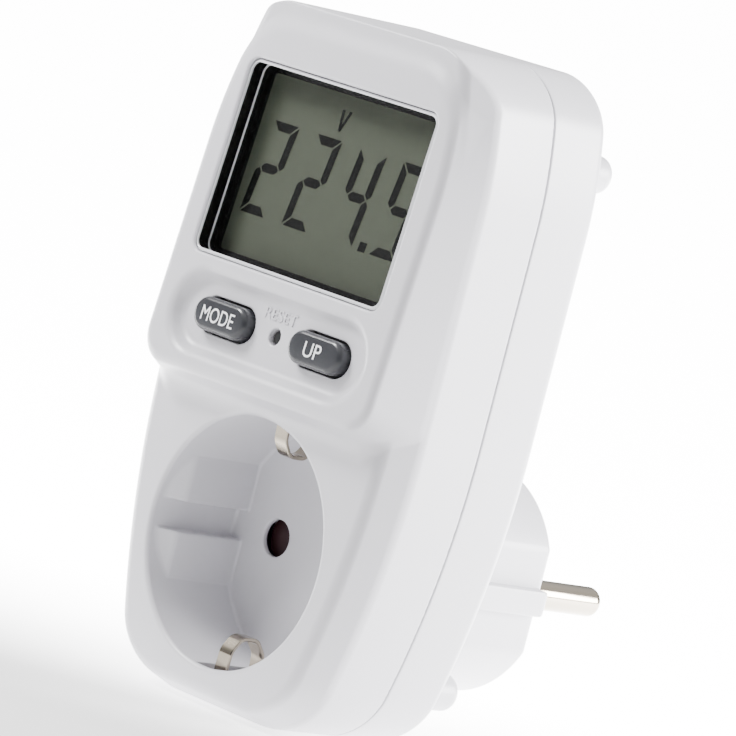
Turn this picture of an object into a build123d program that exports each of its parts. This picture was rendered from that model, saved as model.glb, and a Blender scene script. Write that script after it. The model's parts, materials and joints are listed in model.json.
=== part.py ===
from build123d import *
import os
from math import acos, cos, degrees, radians, sin, tan

# Plug-in power meter. Millimetres. The origin is the centre of the plug's face, between the pins.
# +Y is the direction in which the plug is pushed into the wall outlet, +Z is up along the case,
# and +X is to the right of someone who reads the display.

# ---------------------------------------------------------------- mains interface
PIN_RADIUS = 2.4
PIN_SPACING = 19.0
PIN_LENGTH = 19.0
PIN_TIP_ROUND = 1.3
PIN_NECK_RADIUS = 2.0
PIN_COLLAR_RADIUS = 3.2
PIN_COLLAR_LENGTH = 2.0
PIN_SEAT_LENGTH = 9.0
PIN_STUB_RADIUS = 1.6
PIN_STUB_LENGTH = 1.5
PIN_BOSS_RADIUS = 4.4

WELL_RADIUS = 19.75
WELL_DEPTH = 17.5
WELL_WALL = 1.8
WELL_FLOOR = 2.0
PIN_HOLE_RADIUS = 2.95
LUG_FACE = 17.1
LUG_START = 1.4
LUG_RAMP = 2.6
LUG_HALF_HEIGHT = 9.9
LUG_GROOVE = 4.8

BOSS_RADIUS = 18.5
BOSS_LENGTH = 22.9
BOSS_WALL = 2.2
BOSS_EDGE_CHAMFER = 1.05
PLUG_FACE_WALL = 3.0
BOSS_FLAT = 16.5
BOSS_FLAT_HALF_HEIGHT = 10.4
BOSS_RIB = 4.2
BOSS_HOLLOW_HALF_WIDTH = 14.6

# ---------------------------------------------------------------- case
CASE_WIDTH = 60.0
CASE_DEPTH = 28.9
CASE_BOTTOM = -26.0
CASE_TOP = 82.4
WALL = 2.2
SIDE_STRAIGHT_FROM = 25.0
SIDE_STRAIGHT_TO = 58.0
LOWER_SIDE_RADIUS = 144.0
UPPER_SIDE_RADIUS = 69.0
LOWER_CORNER_RADIUS = 9.5
UPPER_CORNER_RADIUS = 8.0
BEVEL_DEPTH = 5.3
BEVEL_SIDE = 4.2
BEVEL_BOTTOM = 2.4
REAR_EDGE_ROUND = 2.0
SEAM_FROM_FRONT = 17.0
SEAM_EDGE = 0.3
LIP_HEIGHT = 1.6
LIP_THICKNESS = 1.0
LIP_CLEARANCE = 0.1
LIP_POST_CLEARANCE = 0.3

# Display plateau, tilted so that its foot stands further out than its top
PLATEAU_TILT = 4.71
PLATEAU_FOOT_RISE = 5.0
PLATEAU_FOOT = 23.5
PLATEAU_FOOT_RUN = 3.0
PLATEAU_SIDE_INSET = 3.4
PLATEAU_TOP_INSET = 3.8
PLATEAU_FOOT_CORNER = 4.0
PLATEAU_BASE_CORNER = 7.0
PLATEAU_WALL = 2.2

# ---------------------------------------------------------------- display
WINDOW_WIDTH = 44.25
WINDOW_HEIGHT = 31.2
WINDOW_CENTRE = 57.08
WINDOW_CORNER = 2.0
WINDOW_FLUSH = 0.15
WINDOW_FLANGE = 1.0
WINDOW_FLANGE_THICKNESS = 0.8
WINDOW_CLEARANCE = 0.1
HOLDER_MARGIN = 1.6
HOLDER_CLEARANCE = 0.1
HOLDER_RIB = 1.0
HOLDER_RIB_DEPTH = 5.0
HOLDER_WALL = 1.0
HOLDER_SIGHT_MARGIN = 0.7
LCD_DEPTH = 4.6
LCD_PLATE = 1.2
LCD_CLEARANCE = 0.15
LCD_LEDGE = 3.0
BOARD_DEPTH = 9.2
BOARD_THICKNESS = 1.6
BOARD_HALF_WIDTH = 24.0
BOARD_BOTTOM = 26.9
BOARD_TOP = 75.0
ZEBRA_WIDTH = 2.0
ZEBRA_MARGIN = 1.2

# ---------------------------------------------------------------- buttons
RECESS_LENGTH = 45.6
RECESS_HEIGHT = 13.6
RECESS_DEPTH = 2.05
RECESS_RAMP = 2.1
RECESS_DROP = 0.1
RECESS_WALL = 1.6
KEY_ROW = 32.7
KEY_SPACING = 22.6
KEY_LENGTH = 12.2
KEY_HEIGHT = 5.3
KEY_CROWN = 0.05
KEY_CLEARANCE = 0.3
KEY_FLANGE = 0.8
KEY_FLANGE_MARGIN = 0.9
KEY_GAP = 0.1
KEY_STEM_RADIUS = 1.5
KEY_ROUND = 0.5
RESET_HOLE_RADIUS = 1.3
RESET_RADIUS = 1.0
RESET_RECESS = 0.7
RESET_FLANGE_RADIUS = 1.9
SWITCH_SIZE = 6.0
SWITCH_HEIGHT = 3.3
PLUNGER_RADIUS = 1.7
PLUNGER_HEIGHT = 0.75
PLUNGER_ROOT = 1.2
PLUNGER_CLEARANCE = 0.05
KEY_TRAVEL = 0.4

# ---------------------------------------------------------------- shutter and contacts
SHUTTER_GAP = 0.3
SHUTTER_THICKNESS = 1.8
SHUTTER_PAD_RADIUS = 3.7
SHUTTER_HUB_RADIUS = 4.0
SHUTTER_ARM_WIDTH = 4.4
SHUTTER_POST_RADIUS = 2.0
SHUTTER_BORE_CLEARANCE = 0.06
SHUTTER_POST_TIP_RADIUS = 1.4
SPRING_WIRE = 0.5
SPRING_TURNS_HEIGHT = 1.4
RETAINER_RADIUS = 3.4
RETAINER_THICKNESS = 0.8
CONTACT_BORE_RADIUS = 2.45
CONTACT_WALL = 0.8
CONTACT_GAP = 0.5
CONTACT_SLIT = 2.0
CONTACT_BASE = 1.0
CONTACT_TO_PIN_GAP = 2.2
LINK_THICKNESS = 0.8
LINK_WIDTH = 5.0
SHUNT_BULGE = 1.6
SHUNT_BEND = 0.48

# ---------------------------------------------------------------- earth
STRAP_THICKNESS = 0.6
STRAP_WIDTH = 4.0
STRAP_CLEARANCE = 0.2
STRAP_SLOT_FROM = 1.0
STRAP_SLOT_TO = 13.6
STRAP_BEND = 0.8
STRAP_CROSSING_GAP = 2.6
SIDE_CONTACT_RADIUS = 17.4
SIDE_CONTACT_END = 3.2
EARTH_BRIDGE_WIDTH = 3.6
EARTH_BRIDGE_GAP = 0.4

# Sprung earth arch in side view: depth below the case front, and reach in from the well's wall
ARCH_TIP = (1.7, -0.9)
ARCH_SHOULDER = (1.6, 3.0)
ARCH_CREST = (3.8, 5.2)
ARCH_HEEL = (7.6, 5.15)
ARCH_FOOT = (12.1, 2.4)
ARCH_END_DEPTH = 12.8

# ---------------------------------------------------------------- fixings
SCREW_RADIUS = 1.3
SCREW_HEAD_RADIUS = 2.4
SCREW_HEAD_HEIGHT = 1.8
SCREW_FIT = 0.05
SCREW_HOLE_DEPTH = 9.0
SCREW_ENGAGEMENT = 8.0
SCREW_CLEARANCE = 0.25
POST_WALL = 1.3
SLEEVE_WALL = 1.1
COUNTERBORE_DEPTH = 6.5
UPPER_SCREW_X = 14.0
UPPER_SCREW_FROM_TOP = 5.0
LOWER_SCREW_X = 13.6
LOWER_SCREW_FROM_BOTTOM = 7.3
FOOT_RADIUS = 3.0
FOOT_TIP_ROUND = 1.8
UPPER_FEET = (23.5, 68.4)
LOWER_FEET = (19.5, -15.5)
BOARD_SCREW_AT = (21.6, 29.6)
BOARD_SCREW_RADIUS = 0.9
BOARD_SCREW_HEAD_RADIUS = 1.7
BOARD_SCREW_HEAD_HEIGHT = 1.0
BOARD_SCREW_LENGTH = 4.0
BOARD_POST_WALL = 1.2

# ---------------------------------------------------------------- electronics
POWER_BOARD_WIDTH = 48.0
POWER_BOARD_BOTTOM = 27.0
POWER_BOARD_TOP = 68.5
POWER_BOARD_STANDOFF = 1.0
STANDOFF_RADIUS = 2.0
X2_SIZE = (18.0, 8.0, 12.0)
X2_CORNER = 0.8
X2_AT = (-13.0, 34.0)
ELECTROLYTIC_RADIUS = 4.0
ELECTROLYTIC_HEIGHT = 11.5
ELECTROLYTIC_AT = (16.0, 36.0)
VARISTOR_RADIUS = 4.5
VARISTOR_THICKNESS = 4.0
VARISTOR_AT = (3.5, 35.0)
FUSE_RADIUS = 4.2
FUSE_HEIGHT = 8.0
FUSE_AT = (-18.0, 48.0)
CELL_RADIUS = 5.6
CELL_LENGTH = 17.0
CELL_AT = (4.0, 54.5)
CHIP_SIZE = (10.0, 7.0, 1.6)
CHIP_AT = (-4.0, 47.0)
CRYSTAL_RADIUS = 1.0
CRYSTAL_LENGTH = 6.0
CRYSTAL_AT = (12.0, 47.0)
LINK_PIN_COUNT = 6
LINK_PIN_PITCH = 2.54
LINK_PIN_SIZE = 0.64
LINK_BLOCK = 2.5
BOARD_LINK_AT = (8.0, 65.5)
LEAD_RADIUS = 0.8

# ---------------------------------------------------------------- cutters
OVERSHOOT = 1.0
FAR = 200.0

# ---------------------------------------------------------------- derived places
PLUG_FACE = 0.0
CASE_BACK = PLUG_FACE - BOSS_LENGTH
CASE_FRONT = CASE_BACK - CASE_DEPTH
SEAM = CASE_FRONT + SEAM_FROM_FRONT
BEVEL_END = CASE_FRONT + BEVEL_DEPTH
WELL_BASE = CASE_FRONT + WELL_DEPTH
WELL_BACK = WELL_BASE + WELL_FLOOR
WELL_OUTER = WELL_RADIUS + WELL_WALL
BACK_INSIDE = CASE_BACK - WALL
HALF_WIDTH = CASE_WIDTH / 2
UPPER_SCREWS = (UPPER_SCREW_X, CASE_TOP - UPPER_SCREW_FROM_TOP)
LOWER_SCREWS = (LOWER_SCREW_X, CASE_BOTTOM + LOWER_SCREW_FROM_BOTTOM)
PIN_X = PIN_SPACING / 2
RECESS_CENTRE = KEY_ROW - RECESS_DROP
WINDOW_BACK = PLATEAU_WALL + WINDOW_FLANGE_THICKNESS
RECESS_BACK = RECESS_DEPTH + RECESS_WALL
KEY_FLANGE_AT = RECESS_BACK + KEY_GAP
SWITCH_TOP = BOARD_DEPTH - SWITCH_HEIGHT
PLUNGER_TOP = SWITCH_TOP - PLUNGER_HEIGHT
BOARD_BACK = BOARD_DEPTH + BOARD_THICKNESS
HOLDER_WIDTH = WINDOW_WIDTH + 2 * HOLDER_MARGIN
HOLDER_HEIGHT = WINDOW_HEIGHT + 2 * HOLDER_MARGIN
LCD_WIDTH = HOLDER_WIDTH - 2 * HOLDER_WALL - 2 * LCD_CLEARANCE
LCD_HEIGHT = HOLDER_HEIGHT - 2 * HOLDER_WALL - 2 * LCD_CLEARANCE
SHUTTER_FRONT = WELL_BACK + SHUTTER_GAP
SHUTTER_BACK = SHUTTER_FRONT + SHUTTER_THICKNESS
SPRING_FRONT = SHUTTER_BACK + SHUTTER_GAP
RETAINER_FRONT = SPRING_FRONT + SPRING_TURNS_HEIGHT + SHUTTER_GAP
CONTACT_FRONT = SHUTTER_BACK + CONTACT_GAP
CONTACT_OUTER = CONTACT_BORE_RADIUS + CONTACT_WALL
PIN_SEAT_BACK = PLUG_FACE - PIN_SEAT_LENGTH
PIN_BACK = PIN_SEAT_BACK - PIN_COLLAR_LENGTH - PIN_STUB_LENGTH
CONTACT_BACK = PIN_BACK - CONTACT_TO_PIN_GAP
STRAP_OUTSIDE = WELL_OUTER + STRAP_CLEARANCE + STRAP_THICKNESS / 2
STRAP_CROSSING = BACK_INSIDE - STRAP_CROSSING_GAP
EARTH_BRIDGE_BACK = BACK_INSIDE - EARTH_BRIDGE_GAP
POWER_BOARD_BACK = BACK_INSIDE - POWER_BOARD_STANDOFF
POWER_BOARD_FRONT = POWER_BOARD_BACK - BOARD_THICKNESS


# ---------------------------------------------------------------- helpers
def front_plane(y):
    """Plane seen from the front at depth y: local x is +X, local y is +Z, its normal points out."""
    return Plane(origin=(0, y, 0), x_dir=(1, 0, 0), z_dir=(0, -1, 0))


def prism(sketch, y_from, y_to):
    """Front-view sketch made solid between two depths, y_from being nearer the front."""
    return extrude(front_plane(y_to) * sketch, amount=y_to - y_from)


def stack_plane(depth):
    """Plane parallel to the display plateau, a given depth below it, with heights measured along it."""
    tilt = radians(PLATEAU_TILT)
    rise_at_axis = PLATEAU_FOOT_RISE + PLATEAU_FOOT * tan(tilt)
    normal = Vector(0, -cos(tilt), sin(tilt))
    origin = Vector(0, CASE_FRONT - rise_at_axis, 0) - normal * depth
    return Plane(origin=origin, x_dir=(1, 0, 0), z_dir=normal)


def stacked(sketch, depth_from, depth_to):
    """Sketch drawn on the plateau made solid between two depths below it."""
    return extrude(stack_plane(depth_to) * sketch, amount=depth_to - depth_from)


def round_at(x, z, radius):
    """Circle in a front view."""
    return Pos(x, z) * Circle(radius)


def box_at(x, z, width, height, corner=0.0):
    """Rectangle in a front view, centred on x and z, with optional round corners."""
    if corner > 0:
        return Pos(x, z) * RectangleRounded(width, height, corner)
    return Pos(x, z) * Rectangle(width, height)


def mirrored_pairs(*places):
    """Each place and its mirror image about the case's middle."""
    return [(side * x, z) for x, z in places for side in (1, -1)]


def side_arc(radius, height, inset, sign):
    """Tangent side arc as its centre's distance from the middle, its radius and the angle it spans."""
    reach = radius - inset
    angle = 90.0 - degrees(acos(abs(height) / reach))
    return HALF_WIDTH - radius, reach, sign * angle


def case_outline(side_inset=0.0, bottom_inset=None, top_inset=None):
    """Front view of the case: straight flanks that lean in along large arcs towards both ends."""
    bottom = CASE_BOTTOM + (side_inset if bottom_inset is None else bottom_inset)
    top = CASE_TOP - (side_inset if top_inset is None else top_inset)
    half = HALF_WIDTH - side_inset
    low_x, low_r, low_a = side_arc(LOWER_SIDE_RADIUS, SIDE_STRAIGHT_FROM - bottom, side_inset, -1)
    top_x, top_r, top_a = side_arc(UPPER_SIDE_RADIUS, top - SIDE_STRAIGHT_TO, side_inset, 1)
    low_end = low_x + low_r * cos(radians(low_a))
    top_end = top_x + top_r * cos(radians(top_a))
    edges = Line((-low_end, bottom), (low_end, bottom))
    edges += CenterArc((low_x, SIDE_STRAIGHT_FROM), low_r, low_a, -low_a)
    edges += Line((half, SIDE_STRAIGHT_FROM), (half, SIDE_STRAIGHT_TO))
    edges += CenterArc((top_x, SIDE_STRAIGHT_TO), top_r, 0, top_a)
    edges += Line((top_end, top), (-top_end, top))
    edges += CenterArc((-top_x, SIDE_STRAIGHT_TO), top_r, 180 - top_a, top_a)
    edges += Line((-half, SIDE_STRAIGHT_TO), (-half, SIDE_STRAIGHT_FROM))
    edges += CenterArc((-low_x, SIDE_STRAIGHT_FROM), low_r, 180, -low_a)
    face = make_face(edges)
    face = fillet(face.vertices().group_by(Axis.Y)[0], LOWER_CORNER_RADIUS - side_inset)
    return fillet(face.vertices().group_by(Axis.Y)[-1], UPPER_CORNER_RADIUS - side_inset)


def plateau_outline(side_inset, top_inset, foot, corner):
    """Upper part of the case outline, closed by a straight foot with round corners."""
    half = HALF_WIDTH - side_inset
    top = CASE_TOP - top_inset
    top_x, top_r, top_a = side_arc(UPPER_SIDE_RADIUS, top - SIDE_STRAIGHT_TO, side_inset, 1)
    top_end = top_x + top_r * cos(radians(top_a))
    edges = Line((-half, foot), (half, foot))
    edges += Line((half, foot), (half, SIDE_STRAIGHT_TO))
    edges += CenterArc((top_x, SIDE_STRAIGHT_TO), top_r, 0, top_a)
    edges += Line((top_end, top), (-top_end, top))
    edges += CenterArc((-top_x, SIDE_STRAIGHT_TO), top_r, 180 - top_a, top_a)
    edges += Line((-half, SIDE_STRAIGHT_TO), (-half, foot))
    face = make_face(edges)
    face = fillet(face.vertices().group_by(Axis.Y)[0], corner)
    return fillet(face.vertices().group_by(Axis.Y)[-1], UPPER_CORNER_RADIUS - side_inset / 2)


def write(shape, name):
    """One sub-part to its own file."""
    shape.label = name
    export_step(shape, f"parts/{name}.step")


# ---------------------------------------------------------------- front housing
def case_block(inset, front):
    """Case forward of the seam with its bevelled front edge, moved in by a wall thickness."""
    face = front_plane(front) * case_outline(BEVEL_SIDE + inset, BEVEL_BOTTOM + inset)
    edge = front_plane(BEVEL_END + inset / 2) * case_outline(inset)
    bevel = loft([face, edge], ruled=True)
    return bevel + prism(case_outline(inset), BEVEL_END + inset / 2, SEAM)


def plateau_block(inset, depth):
    """Tapered display plateau, moved in by a wall thickness."""
    foot_reach = PLATEAU_FOOT_RUN * (PLATEAU_FOOT_RISE + BEVEL_DEPTH) / PLATEAU_FOOT_RISE
    face = plateau_outline(
        PLATEAU_SIDE_INSET + inset, PLATEAU_TOP_INSET + inset, PLATEAU_FOOT + inset, PLATEAU_FOOT_CORNER
    )
    base = plateau_outline(inset, inset, PLATEAU_FOOT - foot_reach + inset, PLATEAU_BASE_CORNER)
    base_plane = front_plane(BEVEL_END + inset / 2)
    return loft([base_plane * base, stack_plane(depth) * face], ruled=True)


def recess_tool():
    """Button recess: a long obround whose wall slopes in to its flat floor."""
    mouth = Pos(0, RECESS_CENTRE) * SlotOverall(RECESS_LENGTH, RECESS_HEIGHT)
    floor = Pos(0, RECESS_CENTRE) * SlotOverall(
        RECESS_LENGTH - 2 * RECESS_RAMP, RECESS_HEIGHT - 2 * RECESS_RAMP
    )
    return loft([stack_plane(0) * mouth, stack_plane(RECESS_DEPTH) * floor], ruled=True)


def well_lugs():
    """Guide lugs on both flanks of the outlet well, each split by the groove for the plug's rib."""
    start = CASE_FRONT + LUG_START
    side_view = Polyline(
        (WELL_OUTER, start),
        (WELL_RADIUS, start),
        (LUG_FACE, start + LUG_RAMP),
        (LUG_FACE, WELL_BASE + WELL_FLOOR / 2),
        (WELL_OUTER, WELL_BASE + WELL_FLOOR / 2),
        close=True,
    )
    wedge = extrude(make_face(side_view), amount=LUG_HALF_HEIGHT, both=True)
    groove = Box(FAR, FAR, LUG_GROOVE)
    rim = prism(Circle((WELL_RADIUS + WELL_OUTER) / 2), CASE_FRONT, WELL_BACK)
    lug = (wedge - groove) & rim
    return lug + mirror(lug, about=Plane.YZ)


def earth_slots():
    """Slots in the well wall, above and below, through which the earth arches reach in."""
    slot = Pos(0, CASE_FRONT + (STRAP_SLOT_FROM + STRAP_SLOT_TO) / 2, 0) * Box(
        STRAP_WIDTH + 2 * STRAP_CLEARANCE,
        STRAP_SLOT_TO - STRAP_SLOT_FROM,
        2 * (WELL_OUTER + STRAP_CLEARANCE),
    )
    return slot - prism(Circle(WELL_RADIUS - WELL_WALL), CASE_FRONT, WELL_BASE)


def front_housing():
    shell = case_block(0, CASE_FRONT) + plateau_block(0, 0)
    shell -= case_block(WALL, CASE_FRONT + WALL)
    shell -= plateau_block(PLATEAU_WALL, PLATEAU_WALL)
    shell += prism(Circle(WELL_OUTER), CASE_FRONT, WELL_BACK)
    pad_length = RECESS_LENGTH - 2 * RECESS_RAMP + 2 * RECESS_WALL
    pad_height = RECESS_HEIGHT - 2 * RECESS_RAMP + 2 * RECESS_WALL
    pad = Pos(0, RECESS_CENTRE) * SlotOverall(pad_length, pad_height)
    shell += stacked(pad, PLATEAU_WALL / 2, RECESS_BACK)
    for x, z in mirrored_pairs(UPPER_SCREWS, LOWER_SCREWS):
        shell += prism(round_at(x, z, SCREW_RADIUS + POST_WALL), CASE_FRONT + WALL, SEAM)
    for x, z in mirrored_pairs(BOARD_SCREW_AT):
        post = round_at(x, z, BOARD_SCREW_RADIUS + BOARD_POST_WALL)
        shell += stacked(post, PLATEAU_WALL / 2, BOARD_DEPTH)
    holder = offset(box_at(0, WINDOW_CENTRE, HOLDER_WIDTH, HOLDER_HEIGHT, HOLDER_WALL), HOLDER_CLEARANCE)
    shell += stacked(offset(holder, HOLDER_RIB), PLATEAU_WALL / 2, HOLDER_RIB_DEPTH)

    shell -= prism(Circle(WELL_RADIUS), CASE_FRONT - OVERSHOOT, WELL_BASE)
    shell += well_lugs()
    shell -= earth_slots()
    shell -= recess_tool()
    for side in (1, -1):
        pin_hole = round_at(side * PIN_X, 0, PIN_HOLE_RADIUS)
        shell -= prism(pin_hole, WELL_BASE - OVERSHOOT, WELL_BACK + OVERSHOOT)
        key = Pos(side * KEY_SPACING / 2, KEY_ROW) * SlotOverall(
            KEY_LENGTH + 2 * KEY_CLEARANCE, KEY_HEIGHT + 2 * KEY_CLEARANCE
        )
        shell -= stacked(key, 0, RECESS_BACK + OVERSHOOT)
    shell -= stacked(round_at(0, KEY_ROW, RESET_HOLE_RADIUS), 0, RECESS_BACK + OVERSHOOT)
    window = box_at(0, WINDOW_CENTRE, WINDOW_WIDTH, WINDOW_HEIGHT, WINDOW_CORNER)
    shell -= stacked(offset(window, WINDOW_CLEARANCE), -OVERSHOOT, WINDOW_BACK)
    shell -= stacked(holder, PLATEAU_WALL, BOARD_BACK)
    for x, z in mirrored_pairs(UPPER_SCREWS, LOWER_SCREWS):
        hole = round_at(x, z, SCREW_RADIUS + SCREW_FIT)
        shell -= prism(hole, SEAM - SCREW_HOLE_DEPTH, SEAM + OVERSHOOT)
    for x, z in mirrored_pairs(BOARD_SCREW_AT):
        hole = round_at(x, z, BOARD_SCREW_RADIUS + SCREW_FIT)
        shell -= stacked(hole, BOARD_DEPTH - BOARD_SCREW_LENGTH, BOARD_DEPTH + OVERSHOOT)
    shell += prism(Circle(SHUTTER_POST_RADIUS), WELL_BASE + WELL_FLOOR / 2, RETAINER_FRONT)
    shell += prism(Circle(SHUTTER_POST_TIP_RADIUS), RETAINER_FRONT, RETAINER_FRONT + RETAINER_THICKNESS)
    return shell


# ---------------------------------------------------------------- rear housing
def plug_boss_outline():
    """Round plug with flattened flanks, each with the rib that enters the wall outlet's groove."""
    disc = Circle(BOSS_RADIUS)
    for side in (1, -1):
        flat_width = 2 * (BOSS_RADIUS - BOSS_FLAT)
        for half in (1, -1):
            height = BOSS_FLAT_HALF_HEIGHT - BOSS_RIB / 2
            middle = half * (BOSS_FLAT_HALF_HEIGHT + BOSS_RIB / 2) / 2
            disc -= box_at(side * (BOSS_FLAT + flat_width / 2), middle, flat_width, height)
    return disc


def side_contact_channels():
    """Channels on top and underneath the plug that take the earth straps, and their way in."""
    bottom = SIDE_CONTACT_RADIUS - STRAP_THICKNESS / 2
    height = BOSS_RADIUS - bottom + OVERSHOOT
    channel = Pos(0, (STRAP_CROSSING + PLUG_FACE - SIDE_CONTACT_END + STRAP_CLEARANCE) / 2, 0) * Box(
        STRAP_WIDTH + 2 * STRAP_CLEARANCE,
        PLUG_FACE - SIDE_CONTACT_END + STRAP_CLEARANCE - STRAP_CROSSING,
        2 * (bottom + height),
    )
    core = Box(FAR, FAR, 2 * bottom)
    cover = Pos(0, (BACK_INSIDE + CASE_BACK) / 2, 0) * Box(FAR, WALL + OVERSHOOT, FAR)
    reach = 2 * (SIDE_CONTACT_RADIUS + STRAP_THICKNESS / 2 + STRAP_CLEARANCE)
    entry = Pos(0, (BACK_INSIDE + CASE_BACK) / 2, 0) * Box(
        STRAP_WIDTH + 2 * STRAP_CLEARANCE, WALL + 2 * OVERSHOOT, reach
    )
    return (channel - core - cover) + (entry - core)


def foot(x, z):
    """Round spacer foot with a domed tip, which meets the wall as the plug's face goes home."""
    tip = CASE_BACK + BOSS_LENGTH - WELL_DEPTH
    stem = prism(round_at(x, z, FOOT_RADIUS), CASE_BACK - WALL / 2, tip)
    return fillet(stem.edges().group_by(Axis.Y)[-1], FOOT_TIP_ROUND)


def rear_housing():
    shell = prism(case_outline(0), SEAM, CASE_BACK)
    shell = fillet(shell.edges().group_by(Axis.Y)[-1], REAR_EDGE_ROUND)
    shell = chamfer(shell.edges().group_by(Axis.Y)[0], SEAM_EDGE)
    shell -= prism(case_outline(WALL), SEAM - OVERSHOOT, BACK_INSIDE)
    boss = prism(plug_boss_outline(), CASE_BACK - WALL / 2, PLUG_FACE)
    boss = chamfer(boss.edges().group_by(Axis.Y)[-1], BOSS_EDGE_CHAMFER)
    shell += boss
    hollow = Circle(BOSS_RADIUS - BOSS_WALL) & Rectangle(2 * BOSS_HOLLOW_HALF_WIDTH, 2 * BOSS_RADIUS)
    shell -= prism(hollow, SEAM - OVERSHOOT, PLUG_FACE - PLUG_FACE_WALL)
    inner = LIP_CLEARANCE + WALL
    lip = case_outline(inner) - case_outline(inner + LIP_THICKNESS)
    root = case_outline(WALL / 2) - case_outline(inner + LIP_THICKNESS)
    for x, z in mirrored_pairs(UPPER_SCREWS, LOWER_SCREWS):
        lip -= round_at(x, z, SCREW_RADIUS + POST_WALL + LIP_POST_CLEARANCE)
    shell += prism(lip, SEAM - LIP_HEIGHT, SEAM + LIP_HEIGHT)
    shell += prism(root, SEAM + SEAM_EDGE, SEAM + LIP_HEIGHT)
    for x, z in mirrored_pairs(UPPER_FEET, LOWER_FEET):
        shell += foot(x, z)
    for x, z in mirrored_pairs(UPPER_SCREWS, LOWER_SCREWS):
        sleeve = round_at(x, z, SCREW_HEAD_RADIUS + SCREW_CLEARANCE + SLEEVE_WALL)
        shell += prism(sleeve, SEAM, CASE_BACK - WALL / 2)
    shell -= prism(Circle(WELL_OUTER + LIP_CLEARANCE), SEAM - OVERSHOOT, WELL_BACK + LIP_CLEARANCE)
    for side in (1, -1):
        seat = round_at(side * PIN_X, 0, PIN_BOSS_RADIUS)
        shell += prism(seat, PIN_SEAT_BACK, PLUG_FACE - PLUG_FACE_WALL / 2)
        neck = round_at(side * PIN_X, 0, PIN_NECK_RADIUS)
        shell -= prism(neck, PIN_SEAT_BACK - OVERSHOOT, PLUG_FACE + OVERSHOOT)
    for x, z in mirrored_pairs(UPPER_SCREWS, LOWER_SCREWS):
        head = round_at(x, z, SCREW_HEAD_RADIUS + SCREW_CLEARANCE)
        shank = round_at(x, z, SCREW_RADIUS + SCREW_CLEARANCE)
        shell -= prism(head, CASE_BACK - COUNTERBORE_DEPTH, CASE_BACK + OVERSHOOT)
        shell -= prism(shank, SEAM - OVERSHOOT, CASE_BACK)
    for x, z in board_standoffs():
        shell += prism(round_at(x, z, STANDOFF_RADIUS), POWER_BOARD_BACK, CASE_BACK - WALL / 2)
    return shell - side_contact_channels()


def board_standoffs():
    """Places of the stand-offs that carry the power board on the rear wall."""
    x = POWER_BOARD_WIDTH / 2 - 2 * STANDOFF_RADIUS
    low = POWER_BOARD_BOTTOM + 2 * STANDOFF_RADIUS
    high = POWER_BOARD_TOP - 2 * STANDOFF_RADIUS
    return mirrored_pairs((x, low), (x, high))


# ---------------------------------------------------------------- display stack
def display_window():
    """Clear lens: it fills the opening and its flange bears on the housing from behind."""
    lens = box_at(0, WINDOW_CENTRE, WINDOW_WIDTH, WINDOW_HEIGHT, WINDOW_CORNER)
    flange = offset(lens, WINDOW_FLANGE)
    return stacked(lens, WINDOW_FLUSH, WINDOW_BACK) + stacked(flange, PLATEAU_WALL, WINDOW_BACK)


def lcd_holder():
    """Black carrier: a frame behind the lens and a skirt round the display, down to the board."""
    window = box_at(0, WINDOW_CENTRE, WINDOW_WIDTH, WINDOW_HEIGHT, WINDOW_CORNER)
    sight = offset(window, -HOLDER_SIGHT_MARGIN)
    outside = box_at(0, WINDOW_CENTRE, HOLDER_WIDTH, HOLDER_HEIGHT, HOLDER_WALL)
    pocket = box_at(0, WINDOW_CENTRE, HOLDER_WIDTH - 2 * HOLDER_WALL, HOLDER_HEIGHT - 2 * HOLDER_WALL)
    holder = stacked(outside, WINDOW_BACK, BOARD_DEPTH)
    holder -= stacked(pocket, LCD_DEPTH, BOARD_DEPTH + OVERSHOOT)
    return holder - stacked(sight, 0, LCD_DEPTH + OVERSHOOT)


def lcd_panel():
    """Two display glasses: the front one overhangs below as the contact ledge."""
    front = box_at(0, WINDOW_CENTRE, LCD_WIDTH, LCD_HEIGHT)
    rear = box_at(0, WINDOW_CENTRE + LCD_LEDGE / 2, LCD_WIDTH, LCD_HEIGHT - LCD_LEDGE)
    plates = stacked(front, LCD_DEPTH, LCD_DEPTH + LCD_PLATE)
    return plates + stacked(rear, LCD_DEPTH + LCD_PLATE, LCD_DEPTH + 2 * LCD_PLATE)


def zebra_strip():
    """Rubber connector pressed between the display's contact ledge and the board."""
    height = WINDOW_CENTRE - LCD_HEIGHT / 2 + LCD_LEDGE / 2
    strip = box_at(0, height, LCD_WIDTH - 2 * ZEBRA_MARGIN, ZEBRA_WIDTH)
    return stacked(strip, LCD_DEPTH + LCD_PLATE, BOARD_DEPTH)


def display_board():
    """Board behind the display and the keys, bored for its two screws and the link pins."""
    height = BOARD_TOP - BOARD_BOTTOM
    outline = box_at(0, BOARD_BOTTOM + height / 2, 2 * BOARD_HALF_WIDTH, height)
    board = stacked(outline, BOARD_DEPTH, BOARD_BACK)
    for x, z in mirrored_pairs(BOARD_SCREW_AT):
        hole = round_at(x, z, BOARD_SCREW_RADIUS + SCREW_CLEARANCE)
        board -= stacked(hole, BOARD_DEPTH - OVERSHOOT, BOARD_BACK + OVERSHOOT)
    return board


def board_screws():
    """Two screws through the display board into the front housing's posts."""
    screws = []
    for x, z in mirrored_pairs(BOARD_SCREW_AT):
        head = round_at(x, z, BOARD_SCREW_HEAD_RADIUS)
        shank = round_at(x, z, BOARD_SCREW_RADIUS)
        screw = stacked(head, BOARD_BACK, BOARD_BACK + BOARD_SCREW_HEAD_HEIGHT)
        screws.append(screw + stacked(shank, BOARD_DEPTH - BOARD_SCREW_LENGTH, BOARD_BACK))
    return Compound(screws)


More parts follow.
